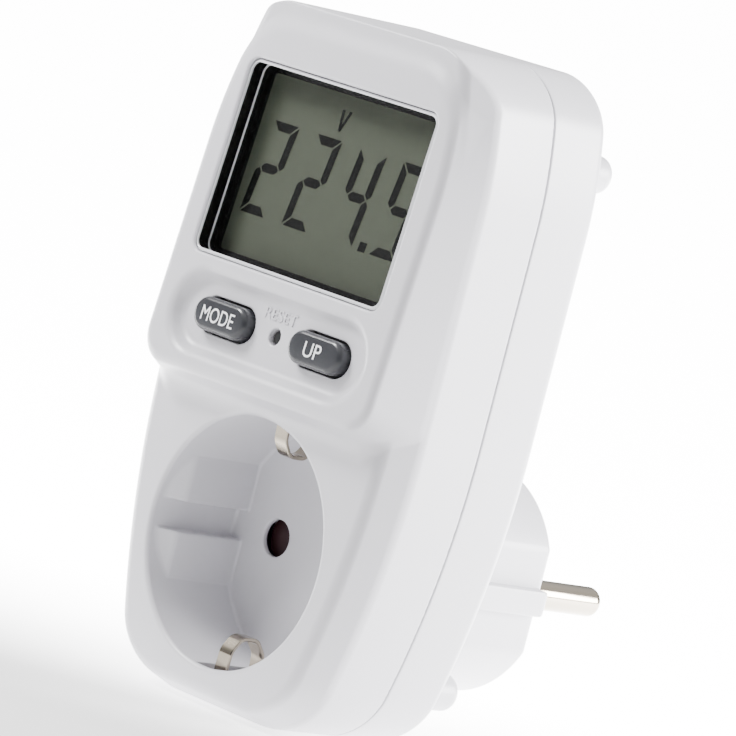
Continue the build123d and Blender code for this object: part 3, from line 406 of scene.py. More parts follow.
@dataclass(frozen=True)
class RearHousing:
    """White rear shell with the wall plug's boss, its feet and its screw wells."""

    form: CaseForm = CaseForm()
    step: float = 0.32
    quick_step: float = 0.55
    keep: float = 0.3
    seam_gap: float = 0.2
    seam_edge: float = 0.25
    rear_edge: float = 2.0
    boss_radius: float = 18.5
    boss_flat: float = 16.5
    boss_flat_height: float = 10.4
    boss_rib: float = 4.2
    boss_edge: float = 1.3
    boss_root: float = 0.9
    boss_wall: float = 2.2
    foot_radius: float = 3.0
    foot_tip: float = -17.5
    foot_edge: float = 1.9
    foot_root: float = 0.4
    upper_foot: tuple[float, float] = (23.5, 68.4)
    lower_foot: tuple[float, float] = (19.5, -15.5)
    flat_edge: float = 0.35
    overlap: float = 1.0
    throat_half: float = 14.6
    plug_wall: float = 3.0
    sleeve: float = 3.75
    lip_sleeve: float = 2.9
    pin_seat: float = 4.4
    pin_seat_from: float = -9.0
    lip_gap: float = 0.1
    lip_wall: float = 1.1
    root_half: float = 0.6
    screw_well: float = 2.65
    screw_well_edge: float = 0.2
    screw_bore: float = 1.55
    tube_clearance: float = 21.65
    tube_depth: float = 19.6
    channel_half: float = 2.2
    channel_floor: float = 17.1
    channel_end: float = 3.0
    channel_reach: float = 0.6
    channel_edge: float = 0.15
    pin_bore: float = 2.0
    pin_bore_from: float = -10.0

    def boss(self, x: Points, y: Points, z: Points) -> Points:
        """Round plug boss with flattened flanks and their guide ribs."""
        height = np.abs(z)
        level = np.maximum(height - self.boss_flat_height, self.boss_rib / 2 - height)
        flat = np.maximum(self.boss_flat - x, level)
        plan = round_cut(disc(x, z, self.boss_radius), flat, self.flat_edge)
        return round_and(plan, y - D.plug_face, self.boss_edge)

    def feet(self, x: Points, y: Points, z: Points) -> Points:
        """Spacer feet with domed tips."""
        places = (self.upper_foot, self.lower_foot)
        upper, lower = (disc(x - across, z - up, self.foot_radius) for across, up in places)
        return round_and(np.minimum(upper, lower), y - self.foot_tip, self.foot_edge)

    def field(self, x: Points, y: Points, z: Points) -> Points:
        """Signed distance to the whole moulding, for x of either sign."""
        x = np.abs(x)
        seam = D.seam + self.seam_gap
        inner = D.back - D.wall
        outline = self.form.outline(x, z)
        solid = round_and(outline, y - D.back, self.rear_edge)
        solid = round_and(solid, seam - y, self.seam_edge)
        solid = round_or(solid, np.maximum(self.boss(x, y, z), D.back - self.overlap - y), self.boss_root)
        solid = round_or(solid, np.maximum(self.feet(x, y, z), D.back - self.overlap - y), self.foot_root)
        hollow = np.maximum(self.form.outline(x, z, D.wall), y - inner)
        throat = np.maximum(disc(x, z, self.boss_radius - self.boss_wall), x - self.throat_half)
        throat = np.maximum(throat, y - D.plug_face + self.plug_wall)
        hollow = np.minimum(hollow, throat)
        hollow = np.maximum(hollow, -screw_columns(x, z, self.sleeve))
        seat = np.maximum(disc(x - D.pin_place, z, self.pin_seat), self.pin_seat_from - y)
        hollow = np.maximum(hollow, -seat)
        solid = np.maximum(solid, -hollow)
        behind_lip = -self.form.outline(x, z, D.wall + self.lip_wall)
        lip = np.maximum(self.form.outline(x, z, D.wall + self.lip_gap), behind_lip)
        lip = np.maximum(lip, -screw_columns(x, z, self.lip_sleeve))
        lip = np.maximum(lip, np.abs(y - D.seam) - D.lip_height)
        root = np.maximum(self.form.outline(x, z, D.wall / 2), behind_lip)
        root = np.maximum(root, np.abs(y - D.seam - self.overlap) - self.root_half)
        solid = np.minimum(solid, np.minimum(lip, root))
        wells = np.maximum(screw_columns(x, z, self.screw_well), D.back - D.screw_seat - y)
        solid = round_cut(solid, wells, self.screw_well_edge)
        solid = np.maximum(solid, -screw_columns(x, z, self.screw_bore))
        solid = np.maximum(solid, -np.maximum(disc(x, z, self.tube_clearance), y - D.front - self.tube_depth))
        height = np.abs(z)
        channel = np.maximum(self.channel_floor - height, y + self.channel_end)
        channel = np.maximum(x - self.channel_half, channel)
        outside = np.maximum(D.back - self.channel_reach - y, height - self.boss_radius - self.channel_reach)
        solid = round_cut(solid, np.maximum(channel, outside), self.channel_edge)
        return np.maximum(solid, -np.maximum(disc(x - D.pin_place, z, self.pin_bore), self.pin_bore_from - y))

    def build(self) -> bpy.types.Object:
        """Makes the shell's mesh and lets it stand for the CAD housing."""
        lowest = (-D.half_width - D.margin, D.seam - D.lip_height - D.margin, D.bottom - D.margin)
        highest = (D.half_width + D.margin, D.plug_face + D.margin, D.top + D.margin)
        step = self.step
        piece = contour("rear_shell", self.field, lowest, highest, step, self.keep)
        return place(piece, WHITE_ABS, BODY, "white_abs", "rear_housing")


# ---------------------------------------------------------------- meshes from fields
TETRA = np.array([(1, 1, 1), (1, -1, -1), (-1, 1, -1), (-1, -1, 1)], float)


def slope_of(field: FieldFunction, points: Points, reach: float) -> tuple[Points, Points]:
    """Gradient and value of a field at scattered points, from four samples about each."""
    total, slope = np.zeros(len(points)), np.zeros_like(points)
    for corner in TETRA:
        moved = points + corner * reach
        value = field(moved[:, 0], moved[:, 1], moved[:, 2])
        total += value / 4
        slope += value[:, None] * corner / (4 * reach)
    return slope, total


def settle(field: FieldFunction, points: Points, most: float, rounds: int = 3) -> Points:
    """Moves points onto the surface where a field is zero.

    Args:
        field: Signed distance.
        points: Places near the surface.
        most: Furthest that one step may go.
        rounds: Number of steps.

    Returns:
        The moved points.
    """
    for _ in range(rounds):
        slope, value = slope_of(field, points, 0.01)
        step = slope * (value / np.maximum((slope * slope).sum(1), 0.05))[:, None]
        length = np.maximum(np.linalg.norm(step, axis=1), 1e-9)
        points = points - step * np.minimum(1.0, most / length)[:, None]
    return points


def sampled(field: FieldFunction, axes: list[Points]) -> Points:
    """Values of a field that is even in x, on the whole grid, from its positive half."""
    x, y, z = axes
    half = len(x) // 2
    grid = np.empty((len(x), len(y), len(z)), np.float32)
    for start in range(half, len(x), 16):
        part = x[start:start + 16, None, None]
        grid[start:start + 16] = field(part, y[None, :, None], z[None, None, :])
    grid[:half] = grid[half:][::-1]
    return grid


def net(grid: Points) -> tuple[Points, Points]:
    """Surface net through a grid of signed distances.

    Args:
        grid: Values on a regular grid, negative inside, positive on its whole border.

    Returns:
        Points in grid units and quads that face outwards.
    """
    inside = grid < 0
    quads, owners, places = [], [], []
    for axis in range(3):
        before, after = [slice(None)] * 3, [slice(None)] * 3
        before[axis], after[axis] = slice(None, -1), slice(1, None)
        from_in, to_in = inside[tuple(before)], inside[tuple(after)]
        edge = np.argwhere(from_in != to_in)
        first = grid[tuple(before)][from_in != to_in]
        second = grid[tuple(after)][from_in != to_in]
        crossing = edge.astype(float)
        crossing[:, axis] += first / (first - second)
        one, two = np.eye(3, dtype=int)[(axis + 1) % 3], np.eye(3, dtype=int)[(axis + 2) % 3]
        shifts = (0 * one, one, one + two, two)
        cells = [np.ravel_multi_index((edge - shift).T, grid.shape) for shift in shifts]
        ring = np.stack(cells, 1)
        leaving = first < 0
        quads.append(np.where(leaving[:, None], ring, ring[:, ::-1]))
        owners += cells
        places += [crossing] * 4
    names, index = np.unique(np.concatenate(owners), return_inverse=True)
    weight = np.bincount(index)
    every = np.concatenate(places)
    points = np.stack([np.bincount(index, every[:, axis]) / weight for axis in range(3)], 1)
    return points, np.searchsorted(names, np.concatenate(quads))


def contour(
    name: str, field: FieldFunction, lowest: tuple, highest: tuple, step: float, keep: float,
    turn: Matrix | None = None,
) -> bpy.types.Object:
    """Closed mesh of a moulding that is symmetric about x = 0, thinned where it is flat.

    Args:
        name: Name of the new object.
        field: Signed distance in millimetres.
        lowest: Low corner of the space that holds the moulding, in millimetres.
        highest: High corner of that space.
        step: Grid spacing in millimetres.
        keep: Share of the triangles that the thinning leaves.
        turn: Where the field's own axes lie in the frame, in millimetres; the frame itself if left out.

    Returns:
        The new object, with normals taken from the field itself.
    """
    half = np.arange(step / 2, highest[0] + step, step)
    axes = [np.concatenate((-half[::-1], half))]
    axes += [np.arange(lowest[i], highest[i] + step, step) for i in (1, 2)]
    points, quads = net(sampled(field, axes))
    points = points * step + np.array([a[0] for a in axes])
    points = settle(field, points, step)
    rough = new_mesh(name + "-net", points, quads)
    thinned = rough.modifiers.new("thin", "DECIMATE")
    thinned.ratio = keep
    mesh = baked(rough)
    bpy.data.objects.remove(rough)
    places = np.empty(len(mesh.vertices) * 3)
    mesh.vertices.foreach_get("co", places)
    places = settle(field, places.reshape(-1, 3) / MM, step / 4, 2)
    mesh.vertices.foreach_set("co", (places * MM).ravel())
    normals, _ = slope_of(field, places, 0.03)
    normals /= np.maximum(np.linalg.norm(normals, axis=1), 1e-9)[:, None]
    if turn is not None:
        spin = np.array(turn)
        mesh.vertices.foreach_set("co", ((places @ spin[:3, :3].T + spin[:3, 3]) * MM).ravel())
        normals = normals @ spin[:3, :3].T
    mesh.polygons.foreach_set("use_smooth", [True] * len(mesh.polygons))
    mesh.normals_split_custom_set_from_vertices(normals.tolist())
    mesh.name = name
    return linked(name, mesh)


def linked(name: str, data: bpy.types.ID) -> bpy.types.Object:
    """New object in the scene that shows a mesh, curve, lamp or camera."""
    made = bpy.data.objects.new(name, data)
    bpy.context.scene.collection.objects.link(made)
    return made


def outwards(mesh: bpy.types.Mesh, merge: float = 0.0) -> None:
    """Turns a mesh's faces outwards, and joins points that lie closer than merge, in metres."""
    form = bmesh.new()
    form.from_mesh(mesh)
    if merge:
        bmesh.ops.remove_doubles(form, verts=form.verts, dist=merge)
    bmesh.ops.recalc_face_normals(form, faces=form.faces)
    form.to_mesh(mesh)
    form.free()


def new_mesh(name: str, points: Points, faces: list | Points) -> bpy.types.Object:
    """Object from points in millimetres and faces as rows of indices."""
    mesh = bpy.data.meshes.new(name)
    mesh.from_pydata((np.asarray(points, float) * MM).tolist(), [], [list(map(int, f)) for f in faces])
    mesh.update()
    return linked(name, mesh)


def baked(piece: bpy.types.Object) -> bpy.types.Mesh:
    """New mesh that holds an object's shape with its modifiers applied."""
    graph = bpy.context.evaluated_depsgraph_get()
    return bpy.data.meshes.new_from_object(piece.evaluated_get(graph))


def place(
    piece: bpy.types.Object, finish: "Finish", body: str, slot_name: str, *nodes: str
) -> bpy.types.Object:
    """Dresses a finished piece, fixes it to its body and hides the CAD nodes that it stands for.

    Args:
        piece: The new piece, in place.
        finish: What it is made of.
        body: CAD body that it moves with.
        slot_name: Material slot of the record; not used.
        nodes: CAD nodes that it stands for.

    Returns:
        The piece.
    """
    piece.data.materials.append(finish.make())
    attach(piece, body)
    if nodes:
        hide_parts(*nodes)
    LOG.info("%s: %d faces on %s", piece.name, len(getattr(piece.data, "polygons", ())), body)
    return piece


# ---------------------------------------------------------------- swept and turned pieces
def stack_matrix(across: float = 0.0, up: float = 0.0, deep: float = 0.0) -> Matrix:
    """Axes of the display plateau, in millimetres: x across, y into the case, z up along the plateau."""
    cos, sin = math.cos(D.tilt), math.sin(D.tilt)
    across_axis, in_axis, up_axis = Vector((1, 0, 0)), Vector((0, cos, -sin)), Vector((0, sin, cos))
    origin = Vector((0, D.stack_origin, 0)) + across_axis * across + up_axis * up + in_axis * deep
    turned = Matrix((across_axis, in_axis, up_axis)).transposed()
    return Matrix.Translation(origin) @ turned.to_4x4()


def moved(points: Points, matrix: Matrix) -> Points:
    """Points after a matrix, both in millimetres."""
    table = np.array(matrix)
    return np.asarray(points, float) @ table[:3, :3].T + table[:3, 3]


def soften(piece: bpy.types.Object, angle: float = 35.0) -> bpy.types.Object:
    """Shades a mesh smooth, and keeps its edges sharp where faces meet at more than an angle."""
    for face in piece.data.polygons:
        face.use_smooth = True
    piece.data.set_sharp_from_angle(angle=math.radians(angle))
    return piece


def rounded_rectangle(width: float, height: float, corner: float, arc: int = 10) -> Points:
    """Closed outline with round corners, the same number of points whatever its size."""
    outline = []
    for quarter, (side, end) in enumerate(((1, 1), (-1, 1), (-1, -1), (1, -1))):
        for i in range(arc + 1):
            turn = math.radians(90 * (quarter + i / arc))
            across = side * (width / 2 - corner) + corner * math.cos(turn)
            outline.append((across, end * (height / 2 - corner) + corner * math.sin(turn)))
    return np.array(outline)


def ringed(name: str, rings: list[Points], matrix: Matrix, loop: bool = False) -> bpy.types.Object:
    """Skin over rings of equal length, closed by a face at each end or by joining last to first.

    Args:
        name: Name of the new object.
        rings: Rows of points in millimetres, in the matrix's own axes.
        matrix: Where those axes lie in the frame.
        loop: True joins the last ring to the first.

    Returns:
        The new object.
    """
    count, size = len(rings), len(rings[0])
    points = moved(np.concatenate(rings), matrix)
    faces = []
    for r in range(count if loop else count - 1):
        here, there = r * size, (r + 1) % count * size
        faces += [(here + i, here + (i + 1) % size, there + (i + 1) % size, there + i) for i in range(size)]
    if not loop:
        faces += [tuple(reversed(range(size))), tuple(range((count - 1) * size, count * size))]
    piece = new_mesh(name, points, faces)
    outwards(piece.data)
    return soften(piece)


def framed(
    name: str, profile: list[tuple], size: tuple[float, float, float], loop: bool, matrix: Matrix
) -> bpy.types.Object:
    """Sweeps a profile round a rectangle with round corners.

    Args:
        name: Name of the new object.
        profile: Pairs of inset from the rectangle's edge and depth below the plateau.
        size: Rectangle's width, height and corner radius at no inset.
        loop: True for a closed profile, which makes a frame; False makes a solid block.
        matrix: Where the block's axes lie in the frame.

    Returns:
        The new object.
    """
    width, height, corner = size
    rings = []
    for inset, depth in profile:
        plan = rounded_rectangle(width - 2 * inset, height - 2 * inset, max(corner - inset, 0.15))
        rings.append(np.stack([plan[:, 0], np.full(len(plan), depth), plan[:, 1]], 1))
    return ringed(name, rings, matrix, loop)


def turned(name: str, profile: list[tuple], at: tuple[float, float], segments: int = 64) -> bpy.types.Object:
    """Lathe-turned piece about an axis along +Y.

    Args:
        name: Name of the new object.
        profile: Pairs of radius and depth, from one end to the other.
        at: Axis's place across and up.
        segments: Facets round the axis.

    Returns:
        The new object.
    """
    turns = np.linspace(0, 2 * math.pi, segments, endpoint=False)
    rings = [
        np.stack([at[0] + r * np.cos(turns), np.full(segments, y), at[1] + r * np.sin(turns)], 1)
        for r, y in profile
    ]
    return ringed(name, rings, Matrix.Identity(4))


def bend_path(corners: list[tuple], radii: list[float], steps: int = 8) -> Points:
    """Path of straight runs and arcs in one plane.

    Args:
        corners: Points where the runs would meet.
        radii: Bend radius at each corner but the two ends.
        steps: Points on each arc.

    Returns:
        The path's points.
    """
    path = [np.array(corners[0], float)]
    for i, radius in enumerate(radii, 1):
        before, corner, after = (np.array(c, float) for c in corners[i - 1:i + 2])
        to_before = (before - corner) / np.linalg.norm(before - corner)
        to_after = (after - corner) / np.linalg.norm(after - corner)
        half = math.acos(float(np.clip(to_before @ to_after, -1, 1))) / 2
        reach = radius / math.tan(half)
        middle = (to_before + to_after) / np.linalg.norm(to_before + to_after)
        centre = corner + middle * radius / math.sin(half)
        start, end = corner + to_before * reach - centre, corner + to_after * reach - centre
        for t in np.linspace(0, 1, steps):
            spoke = start * (1 - t) + end * t
            path.append(centre + spoke / np.linalg.norm(spoke) * radius)
    path.append(np.array(corners[-1], float))
    return np.array(path)


def strip(
    name: str, path: Points, width: float, thickness: float, edge: float, mirror: float
) -> bpy.types.Object:
    """Sheet-metal strip that follows a path in the plane of depth and height.

    Args:
        name: Name of the new object.
        path: Points as pairs of depth and height.
        width: Width across the case.
        thickness: Sheet thickness.
        edge: Rounding of the strip's long edges.
        mirror: 1 as given, -1 upside down.

    Returns:
        The new object.
    """
    along = np.gradient(path, axis=0)
    along /= np.linalg.norm(along, axis=1)[:, None]
    side = np.stack([-along[:, 1], along[:, 0]], 1)
    half, thick = width / 2, thickness / 2
    section = [
        (half - edge, thick), (half, thick - edge), (half, edge - thick), (half - edge, -thick),
        (edge - half, -thick), (-half, edge - thick), (-half, thick - edge), (edge - half, thick),
    ]
    rings = []
    for point, normal in zip(path, side):
        rings.append(np.array([(x, *(point + normal * t)) for x, t in section]) * (1, 1, mirror))
    return soften(ringed(name, rings, Matrix.Identity(4)), 40.0)


def lettering(
    name: str, words: str, size: tuple[float, float], raised: float, matrix: Matrix
) -> bpy.types.Object:
    """Raised letters of an exact width and height, standing on the matrix's own y = 0 plane.

    Args:
        name: Name of the new object.
        words: What they say.
        size: Width and height in millimetres.
        raised: How far they stand proud, in millimetres.
        matrix: Middle of the words and their axes in the frame.

    Returns:
        The new object.
    """
    curve = bpy.data.curves.new(name + "-line", "FONT")
    curve.body, curve.extrude, curve.resolution_u = words, 0.5, 6
    line = linked(name + "-line", curve)
    mesh = baked(line)
    bpy.data.objects.remove(line)
    points = np.array([v.co for v in mesh.vertices])
    lowest, highest = points.min(0), points.max(0)
    share = (points - (lowest + highest) / 2) / (highest - lowest)
    places = np.stack([share[:, 0] * size[0], -(share[:, 2] + 0.5) * raised, share[:, 1] * size[1]], 1)
    mesh.vertices.foreach_set("co", (moved(places, matrix) * MM).ravel())
    mesh.name = name
    outwards(mesh, 1e-7)
    return linked(name, mesh)


# ---------------------------------------------------------------- display
class Digit(Enum):
    """Lit bars of the digits that the display shows, in the usual order a to g."""

    TWO = "abged"
    FOUR = "fgbc"
    NINE = "abcdfg"


@dataclass(frozen=True)
class Display:
    """Clear lens, black carrier and liquid crystal panel with its reading."""

    width: float = 44.25
    height: float = 31.2
    corner: float = 2.0
    flush: float = 0.15
    lens_back: float = 2.95
    rim: float = 0.5
    glass_depth: float = 4.6
    plate: float = 1.2
    digit_height: float = 15.0
    digit_width: float = 6.0
    bar: float = 1.42
    gap: float = 0.16
    lean: float = 0.1
    foot: float = 49.3
    lefts: tuple[float, ...] = (-19.3, -9.1, 1.4, 11.4)
    ink: float = 0.05
    point_left: float = 8.9
    point_drop: float = 0.1
    unit_left: float = -4.1
    unit_foot: float = 65.6

    def sweep(self, name: str, profile: list[tuple], loop: bool) -> bpy.types.Object:
        """Sweeps a profile of inset and depth round the window's outline."""
        size = (self.width, self.height, self.corner)
        return framed(name, profile, size, loop, stack_matrix(0, D.window_centre))

    def lens(self) -> bpy.types.Object:
        """Clear block with a softened front edge and a flange behind."""
        profile = [(3.0, self.flush), (self.rim + 0.2, self.flush), (self.rim, self.flush + 0.02)]
        profile += [(0.28, self.flush + 0.28), (0.25, self.lens_back - 0.8), (-0.9, self.lens_back - 0.7)]
        profile += [(-0.9, self.lens_back), (3.0, self.lens_back)]
        piece = self.sweep("window_lens", profile, False)
        return place(piece, CLEAR_ACRYLIC, BODY, "clear_window", "display_window")

    def lens_edge_painted_highlight(self) -> bpy.types.Object:
        """Pale ring round the lens: a painted highlight for the light that its polished chamfer catches."""
        profile = [(0.03, self.flush + 0.3), (0.42, self.flush - 0.02), (0.55, self.flush + 0.06)]
        profile += [(0.5, self.flush + 0.38), (0.04, self.flush + 0.38)]
        piece = self.sweep("lens_edge_painted_highlight", profile, True)
        return place(piece, LENS_EDGE_PAINTED_HIGHLIGHT, BODY, "clear_window")

    def carrier(self) -> bpy.types.Object:
        """Black frame that lines the opening and holds the display glass."""
        deep = self.glass_depth
        profile = [(-0.03, 0.5), (-0.03, 2.15), (0.14, 2.2), (0.14, 0.5)]
        liner = self.sweep("carrier_liner", profile, True)
        place(liner, BLACK_CARRIER, BODY, "black_carrier")
        profile = [(-1.6, 3.0), (-1.6, 9.15), (-0.6, 9.15), (-0.6, deep + 0.02)]
        profile += [(1.3, deep + 0.02), (1.3, 4.0), (0.5, 4.0), (0.5, 3.0)]
        piece = self.sweep("display_carrier", profile, True)
        return place(piece, BLACK_CARRIER, BODY, "black_carrier", "lcd_holder")

    def highlight(self) -> bpy.types.Object:
        """Back edge of the lens, seen through its side as a thin bright line: a painted highlight in a pale
        finish.
        """
        profile = [(0.2, 2.76), (0.2, 2.94), (0.42, 2.94), (0.4, 2.86), (0.3, 2.76)]
        piece = self.sweep("lens_back_edge_painted_highlight", profile, True)
        return place(piece, LENS_EDGE_PAINTED_HIGHLIGHT, BODY, "clear_window")

    def panel(self) -> bpy.types.Object:
        """Display glass as two plates, the front one longer at its foot."""
        width, height, ledge = self.width + 0.9, self.height + 0.9, 3.0
        deep = self.glass_depth
        profile = [(0.08, deep), (0.0, deep + 0.08), (0.0, deep + self.plate)]
        middle = stack_matrix(0, D.window_centre)
        front = framed("display_glass", profile, (width, height, 0.3), False, middle)
        back = [(0.0, self.glass_depth + self.plate), (0.0, self.glass_depth + 2 * self.plate)]
        raised = stack_matrix(0, D.window_centre + ledge / 2)
        rear = framed("display_rear_glass", back, (width, height - ledge, 0.3), False, raised)
        place(rear, DISPLAY_GLASS, BODY, "display_glass")
        return place(front, DISPLAY_GLASS, BODY, "display_glass", "lcd_panel")

    def bars(self) -> dict[str, list[tuple[float, float]]]:
        """Outline of each of the seven bars of an upright digit."""
        w, h, t, g = self.digit_width, self.digit_height, self.bar, self.gap
        m, e = h / 2, self.gap * 1.6
        right = {
            "b": [
                (w, h - e), (w - t, h - t - e), (w - t, m + t / 2 + g), (w - t / 2, m + g),
                (w, m + t * 0.45 + g),
            ],
            "c": [(w, e), (w - t, t + e), (w - t, m - t / 2 - g), (w - t / 2, m - g), (w, m - t * 0.45 - g)],
        }
        flipped = {"b": "f", "c": "e"}
        bars = dict(right)
        bars.update({flipped[k]: [(w - x, y) for x, y in v] for k, v in right.items()})
        bars["a"] = [(e, h), (w - e, h), (w - t - e, h - t), (t + e, h - t)]
        bars["d"] = [(x, h - y) for x, y in bars["a"]]
        side = t * 0.6
        bars["g"] = [
            (side + g, m), (t + 2 * g, m + t / 2), (w - t - 2 * g, m + t / 2),
            (w - side - g, m), (w - t - 2 * g, m - t / 2), (t + 2 * g, m - t / 2),
        ]
        return bars

    def reading(self) -> bpy.types.Object:
        """Dark bars, decimal point and unit letter, standing just proud of the glass."""
        outlines = []
        for left, digit in zip(self.lefts, (Digit.TWO, Digit.TWO, Digit.FOUR, Digit.NINE)):
            for name in digit.value:
                outlines.append([(left + x + self.lean * y, self.foot + y) for x, y in self.bars()[name]])
        point = [(0, 0), (1.6, 0), (1.75, 1.5), (0.15, 1.5)]
        outlines.append([(self.point_left + x, self.foot - self.point_drop + y) for x, y in point])
        unit = [[(0, 3.4), (0.6, 3.4), (1.2, 0), (0.75, 0)], [(1.75, 3.4), (2.3, 3.4), (1.2, 0), (0.75, 0)]]
        for stroke in unit:
            outlines.append([(self.unit_left + x + self.lean * y, self.unit_foot + y) for x, y in stroke])
        points, faces = [], []
        for outline in outlines:
            first, count = len(points), len(outline)
            for depth in (-self.ink, 0.0):
                points += [(x, depth, up) for x, up in outline]
            back = first + count
            faces += [tuple(range(first, back)), tuple(reversed(range(back, back + count)))]
            for i in range(count):
                after = (i + 1) % count
                faces.append((first + i, first + after, back + after, back + i))
        piece = new_mesh("reading", moved(points, stack_matrix(0, 0, self.glass_depth - 0.005)), faces)
        outwards(piece.data)
        return place(piece, DISPLAY_INK, BODY, "display_glass")

    def build(self) -> None:
        """Makes every piece of the display."""
        for part in (self.lens, self.lens_edge_painted_highlight, self.carrier, self.highlight, self.panel, self.reading):
            part()


# ---------------------------------------------------------------- keys
@dataclass(frozen=True)
class Keys:
    """Two obround keys with white legends, and the recessed reset button."""

    length: float = 12.2
    height: float = 5.3
    spacing: float = 22.6
    top: float = -0.05
    crown: float = 0.12
    round: float = 0.8
    flange: float = 0.9
    flange_at: float = 3.75
    flange_end: float = 4.55
    stem: float = 1.5
    stem_end: float = 5.1
    step: float = 0.14

    def cap_field(self, x: Points, y: Points, z: Points) -> Points:
        """Signed distance to one key, about the middle of its top."""
        plan = slot(x, z, self.length, self.height)
        rise = self.crown * np.clip(plan / (self.height / 2) + 1.0, 0.0, 1.5) ** 2
        cap = round_and(plan, self.top + rise - y, self.round)
        cap = round_and(cap, y - self.flange_at - 0.2, 0.05)
        lip = slot(x, z, self.length + 2 * self.flange, self.height + 2 * self.flange)
        middle, half = (self.flange_at + self.flange_end) / 2, (self.flange_end - self.flange_at) / 2
        lip = round_and(lip, np.abs(y - middle) - half, 0.1)
        stem = np.maximum(disc(x, z, self.stem), np.maximum(self.flange_at - y, y - self.stem_end))
        return np.minimum(np.minimum(cap, lip), stem)

    def cap(self, label: str, words: str, width: float, side: int) -> None:
        """One key and its legend."""
        across = side * self.spacing / 2
        width_reach, height_reach = (side / 2 + self.flange + 0.5 for side in (self.length, self.height))
        reach = (width_reach, self.stem_end + 0.5, height_reach)
        piece = contour(
            f"{label}_key", self.cap_field, (-reach[0], self.top - 0.6, -reach[2]), reach, self.step, 0.35,
            stack_matrix(across, D.key_row),
        )
        place(piece, KEY_GREY, f"{label}_key", "grey_key", f"{label}_button")
        on_top = stack_matrix(across - 0.1, D.key_row, self.top + 0.02)
        legend = lettering(f"{label}_legend", words, (width, 2.35), 0.05, on_top)
        place(legend, LEGEND_WHITE, f"{label}_key", "grey_key")

    def reset_field(self, x: Points, y: Points, z: Points) -> Points:
        """Signed distance to the reset button, about the middle of the key row."""
        pin = round_and(disc(x, z, 1.0), np.maximum(2.75 - y, y - self.stem_end), 0.2)
        lip = round_and(disc(x, z, 1.9), np.abs(y - 4.15) - 0.4, 0.1)
        return np.minimum(pin, lip)

    def reset(self) -> None:
        """Reset button at the bottom of its hole."""
        piece = contour(
            "reset_pin", self.reset_field, (-2.5, 2.2, -2.5), (2.5, self.stem_end + 0.5, 2.5), self.step, 0.5,
            stack_matrix(0, D.key_row),
        )
        # painted shade: the reset button's darker grey stands in for the shade in its hole
        place(piece, RESET_GREY_PAINTED_SHADE, "reset_key", "grey_key", "reset_button")
        word = lettering("reset_word", "RESET", (7.4, 1.8), 0.16, stack_matrix(0.2, D.key_row + 3.3, 2.05))
        place(word, WHITE_ABS, BODY, "white_abs")

    def build(self) -> None:
        """Makes the keys and the reset button."""
        self.cap("mode", "MODE", 7.6, -1)
        self.cap("up", "UP", 3.9, 1)
        self.reset()


# ---------------------------------------------------------------- metal parts
@dataclass(frozen=True)
class Contacts:
    """Plug pins, earth straps and case screws."""

    pin_radius: float = 2.4
    pin_length: float = 19.0
    strap_thickness: float = 0.6
    strap_width: float = 2.8

    def pin(self, label: str) -> None:
        """Turned pin with a domed tip, a neck, a collar and a stub."""
        node_name = f"plug_pin_{label}"
        across = (low(node_name).x + high(node_name).x) / 2
        tip, r, dome = D.plug_face + self.pin_length, self.pin_radius, 1.6
        profile = [(0.02, low(node_name).y), (1.6, low(node_name).y), (1.6, -11.0), (3.2, -11.0), (3.2, -9.0)]
        profile += [(2.0, -9.0), (2.0, -0.1), (r, 0.0), (r, 0.3)]
        profile += [(r, tip - dome)]
        for i in range(1, 9):
            turn = math.radians(90 * i / 8)
            profile.append((r - dome * (1 - math.cos(turn)), tip - dome + dome * math.sin(turn)))
        profile.append((0.02, tip))
        piece = turned(f"pin_{label}", profile, (across, 0.0))
        place(piece, NICKEL, BODY, "nickel", node_name)

    def strap(self, label: str, sign: float) -> None:
        """Earth strap: sprung arch in the outlet, run behind the well, side contact on the plug."""
        f = D.front
        corners = [
            (f + 4.3, 21.0), (f + 4.5, 16.9), (f + 6.0, 14.6), (f + 9.2, 14.6), (f + 11.2, 17.0),
            (f + 11.6, 22.05), (-27.7, 22.05), (-27.7, 17.4), (-3.2, 17.4),
        ]
        path = bend_path(corners, [2.2, 1.8, 1.8, 2.4, 0.8, 0.8, 0.8], 12)
        piece = strip(f"earth_arch_{label}", path, self.strap_width, self.strap_thickness, 0.12, sign)
        place(piece, NICKEL, BODY, "nickel", f"earth_strap_{label}")

    def screw_field(self, x: Points, y: Points, z: Points) -> Points:
        """Signed distance to a pan head screw with a cross recess, its seat at y = 0."""
        dome = np.hypot(np.hypot(x, z), y + 2.6) - 4.4
        head = round_and(np.maximum(disc(x, z, 2.38), dome), -y, 0.15)
        cross = np.minimum(np.maximum(x - 0.36, np.abs(z) - 1.35), np.maximum(np.abs(z) - 0.36, x - 1.35))
        head = round_cut(head, np.maximum(cross, 0.75 - y), 0.08)
        shank = np.maximum(disc(x, z, 1.28), np.maximum(y - 0.2, -13.0 - y))
        return np.minimum(head, shank)

    def screws(self) -> None:
        """Four case screws in their wells, as one piece."""
        one = contour(
            "screw", lambda x, y, z: self.screw_field(np.abs(x), y, z),
            (-3.0, -13.6, -3.0), (3.0, 2.6, 3.0), 0.16, 0.3,
        )
        seat = D.back - D.screw_seat
        form = bmesh.new()
        upper = (D.upper_screw_place, D.top - D.upper_screw_inset)
        lower = (D.lower_screw_place, D.bottom + D.lower_screw_inset)
        for across, up in (upper, (-upper[0], upper[1]), lower, (-lower[0], lower[1])):
            copy = one.data.copy()
            copy.transform(Matrix.Translation(Vector((across, seat, up)) * MM))
            form.from_mesh(copy)
            bpy.data.meshes.remove(copy)
        bpy.data.objects.remove(one)
        mesh = bpy.data.meshes.new("case_screw_set")
        form.to_mesh(mesh)
        form.free()
        piece = soften(linked("case_screw_set", mesh), 40.0)
        place(piece, ZINC_STEEL, BODY, "steel", "case_screws")

    def build(self) -> None:
        """Makes the metal parts that show."""
        for label in ("live", "neutral"):
            self.pin(label)
        self.strap("upper", 1.0)
        self.strap("lower", -1.0)
        self.screws()


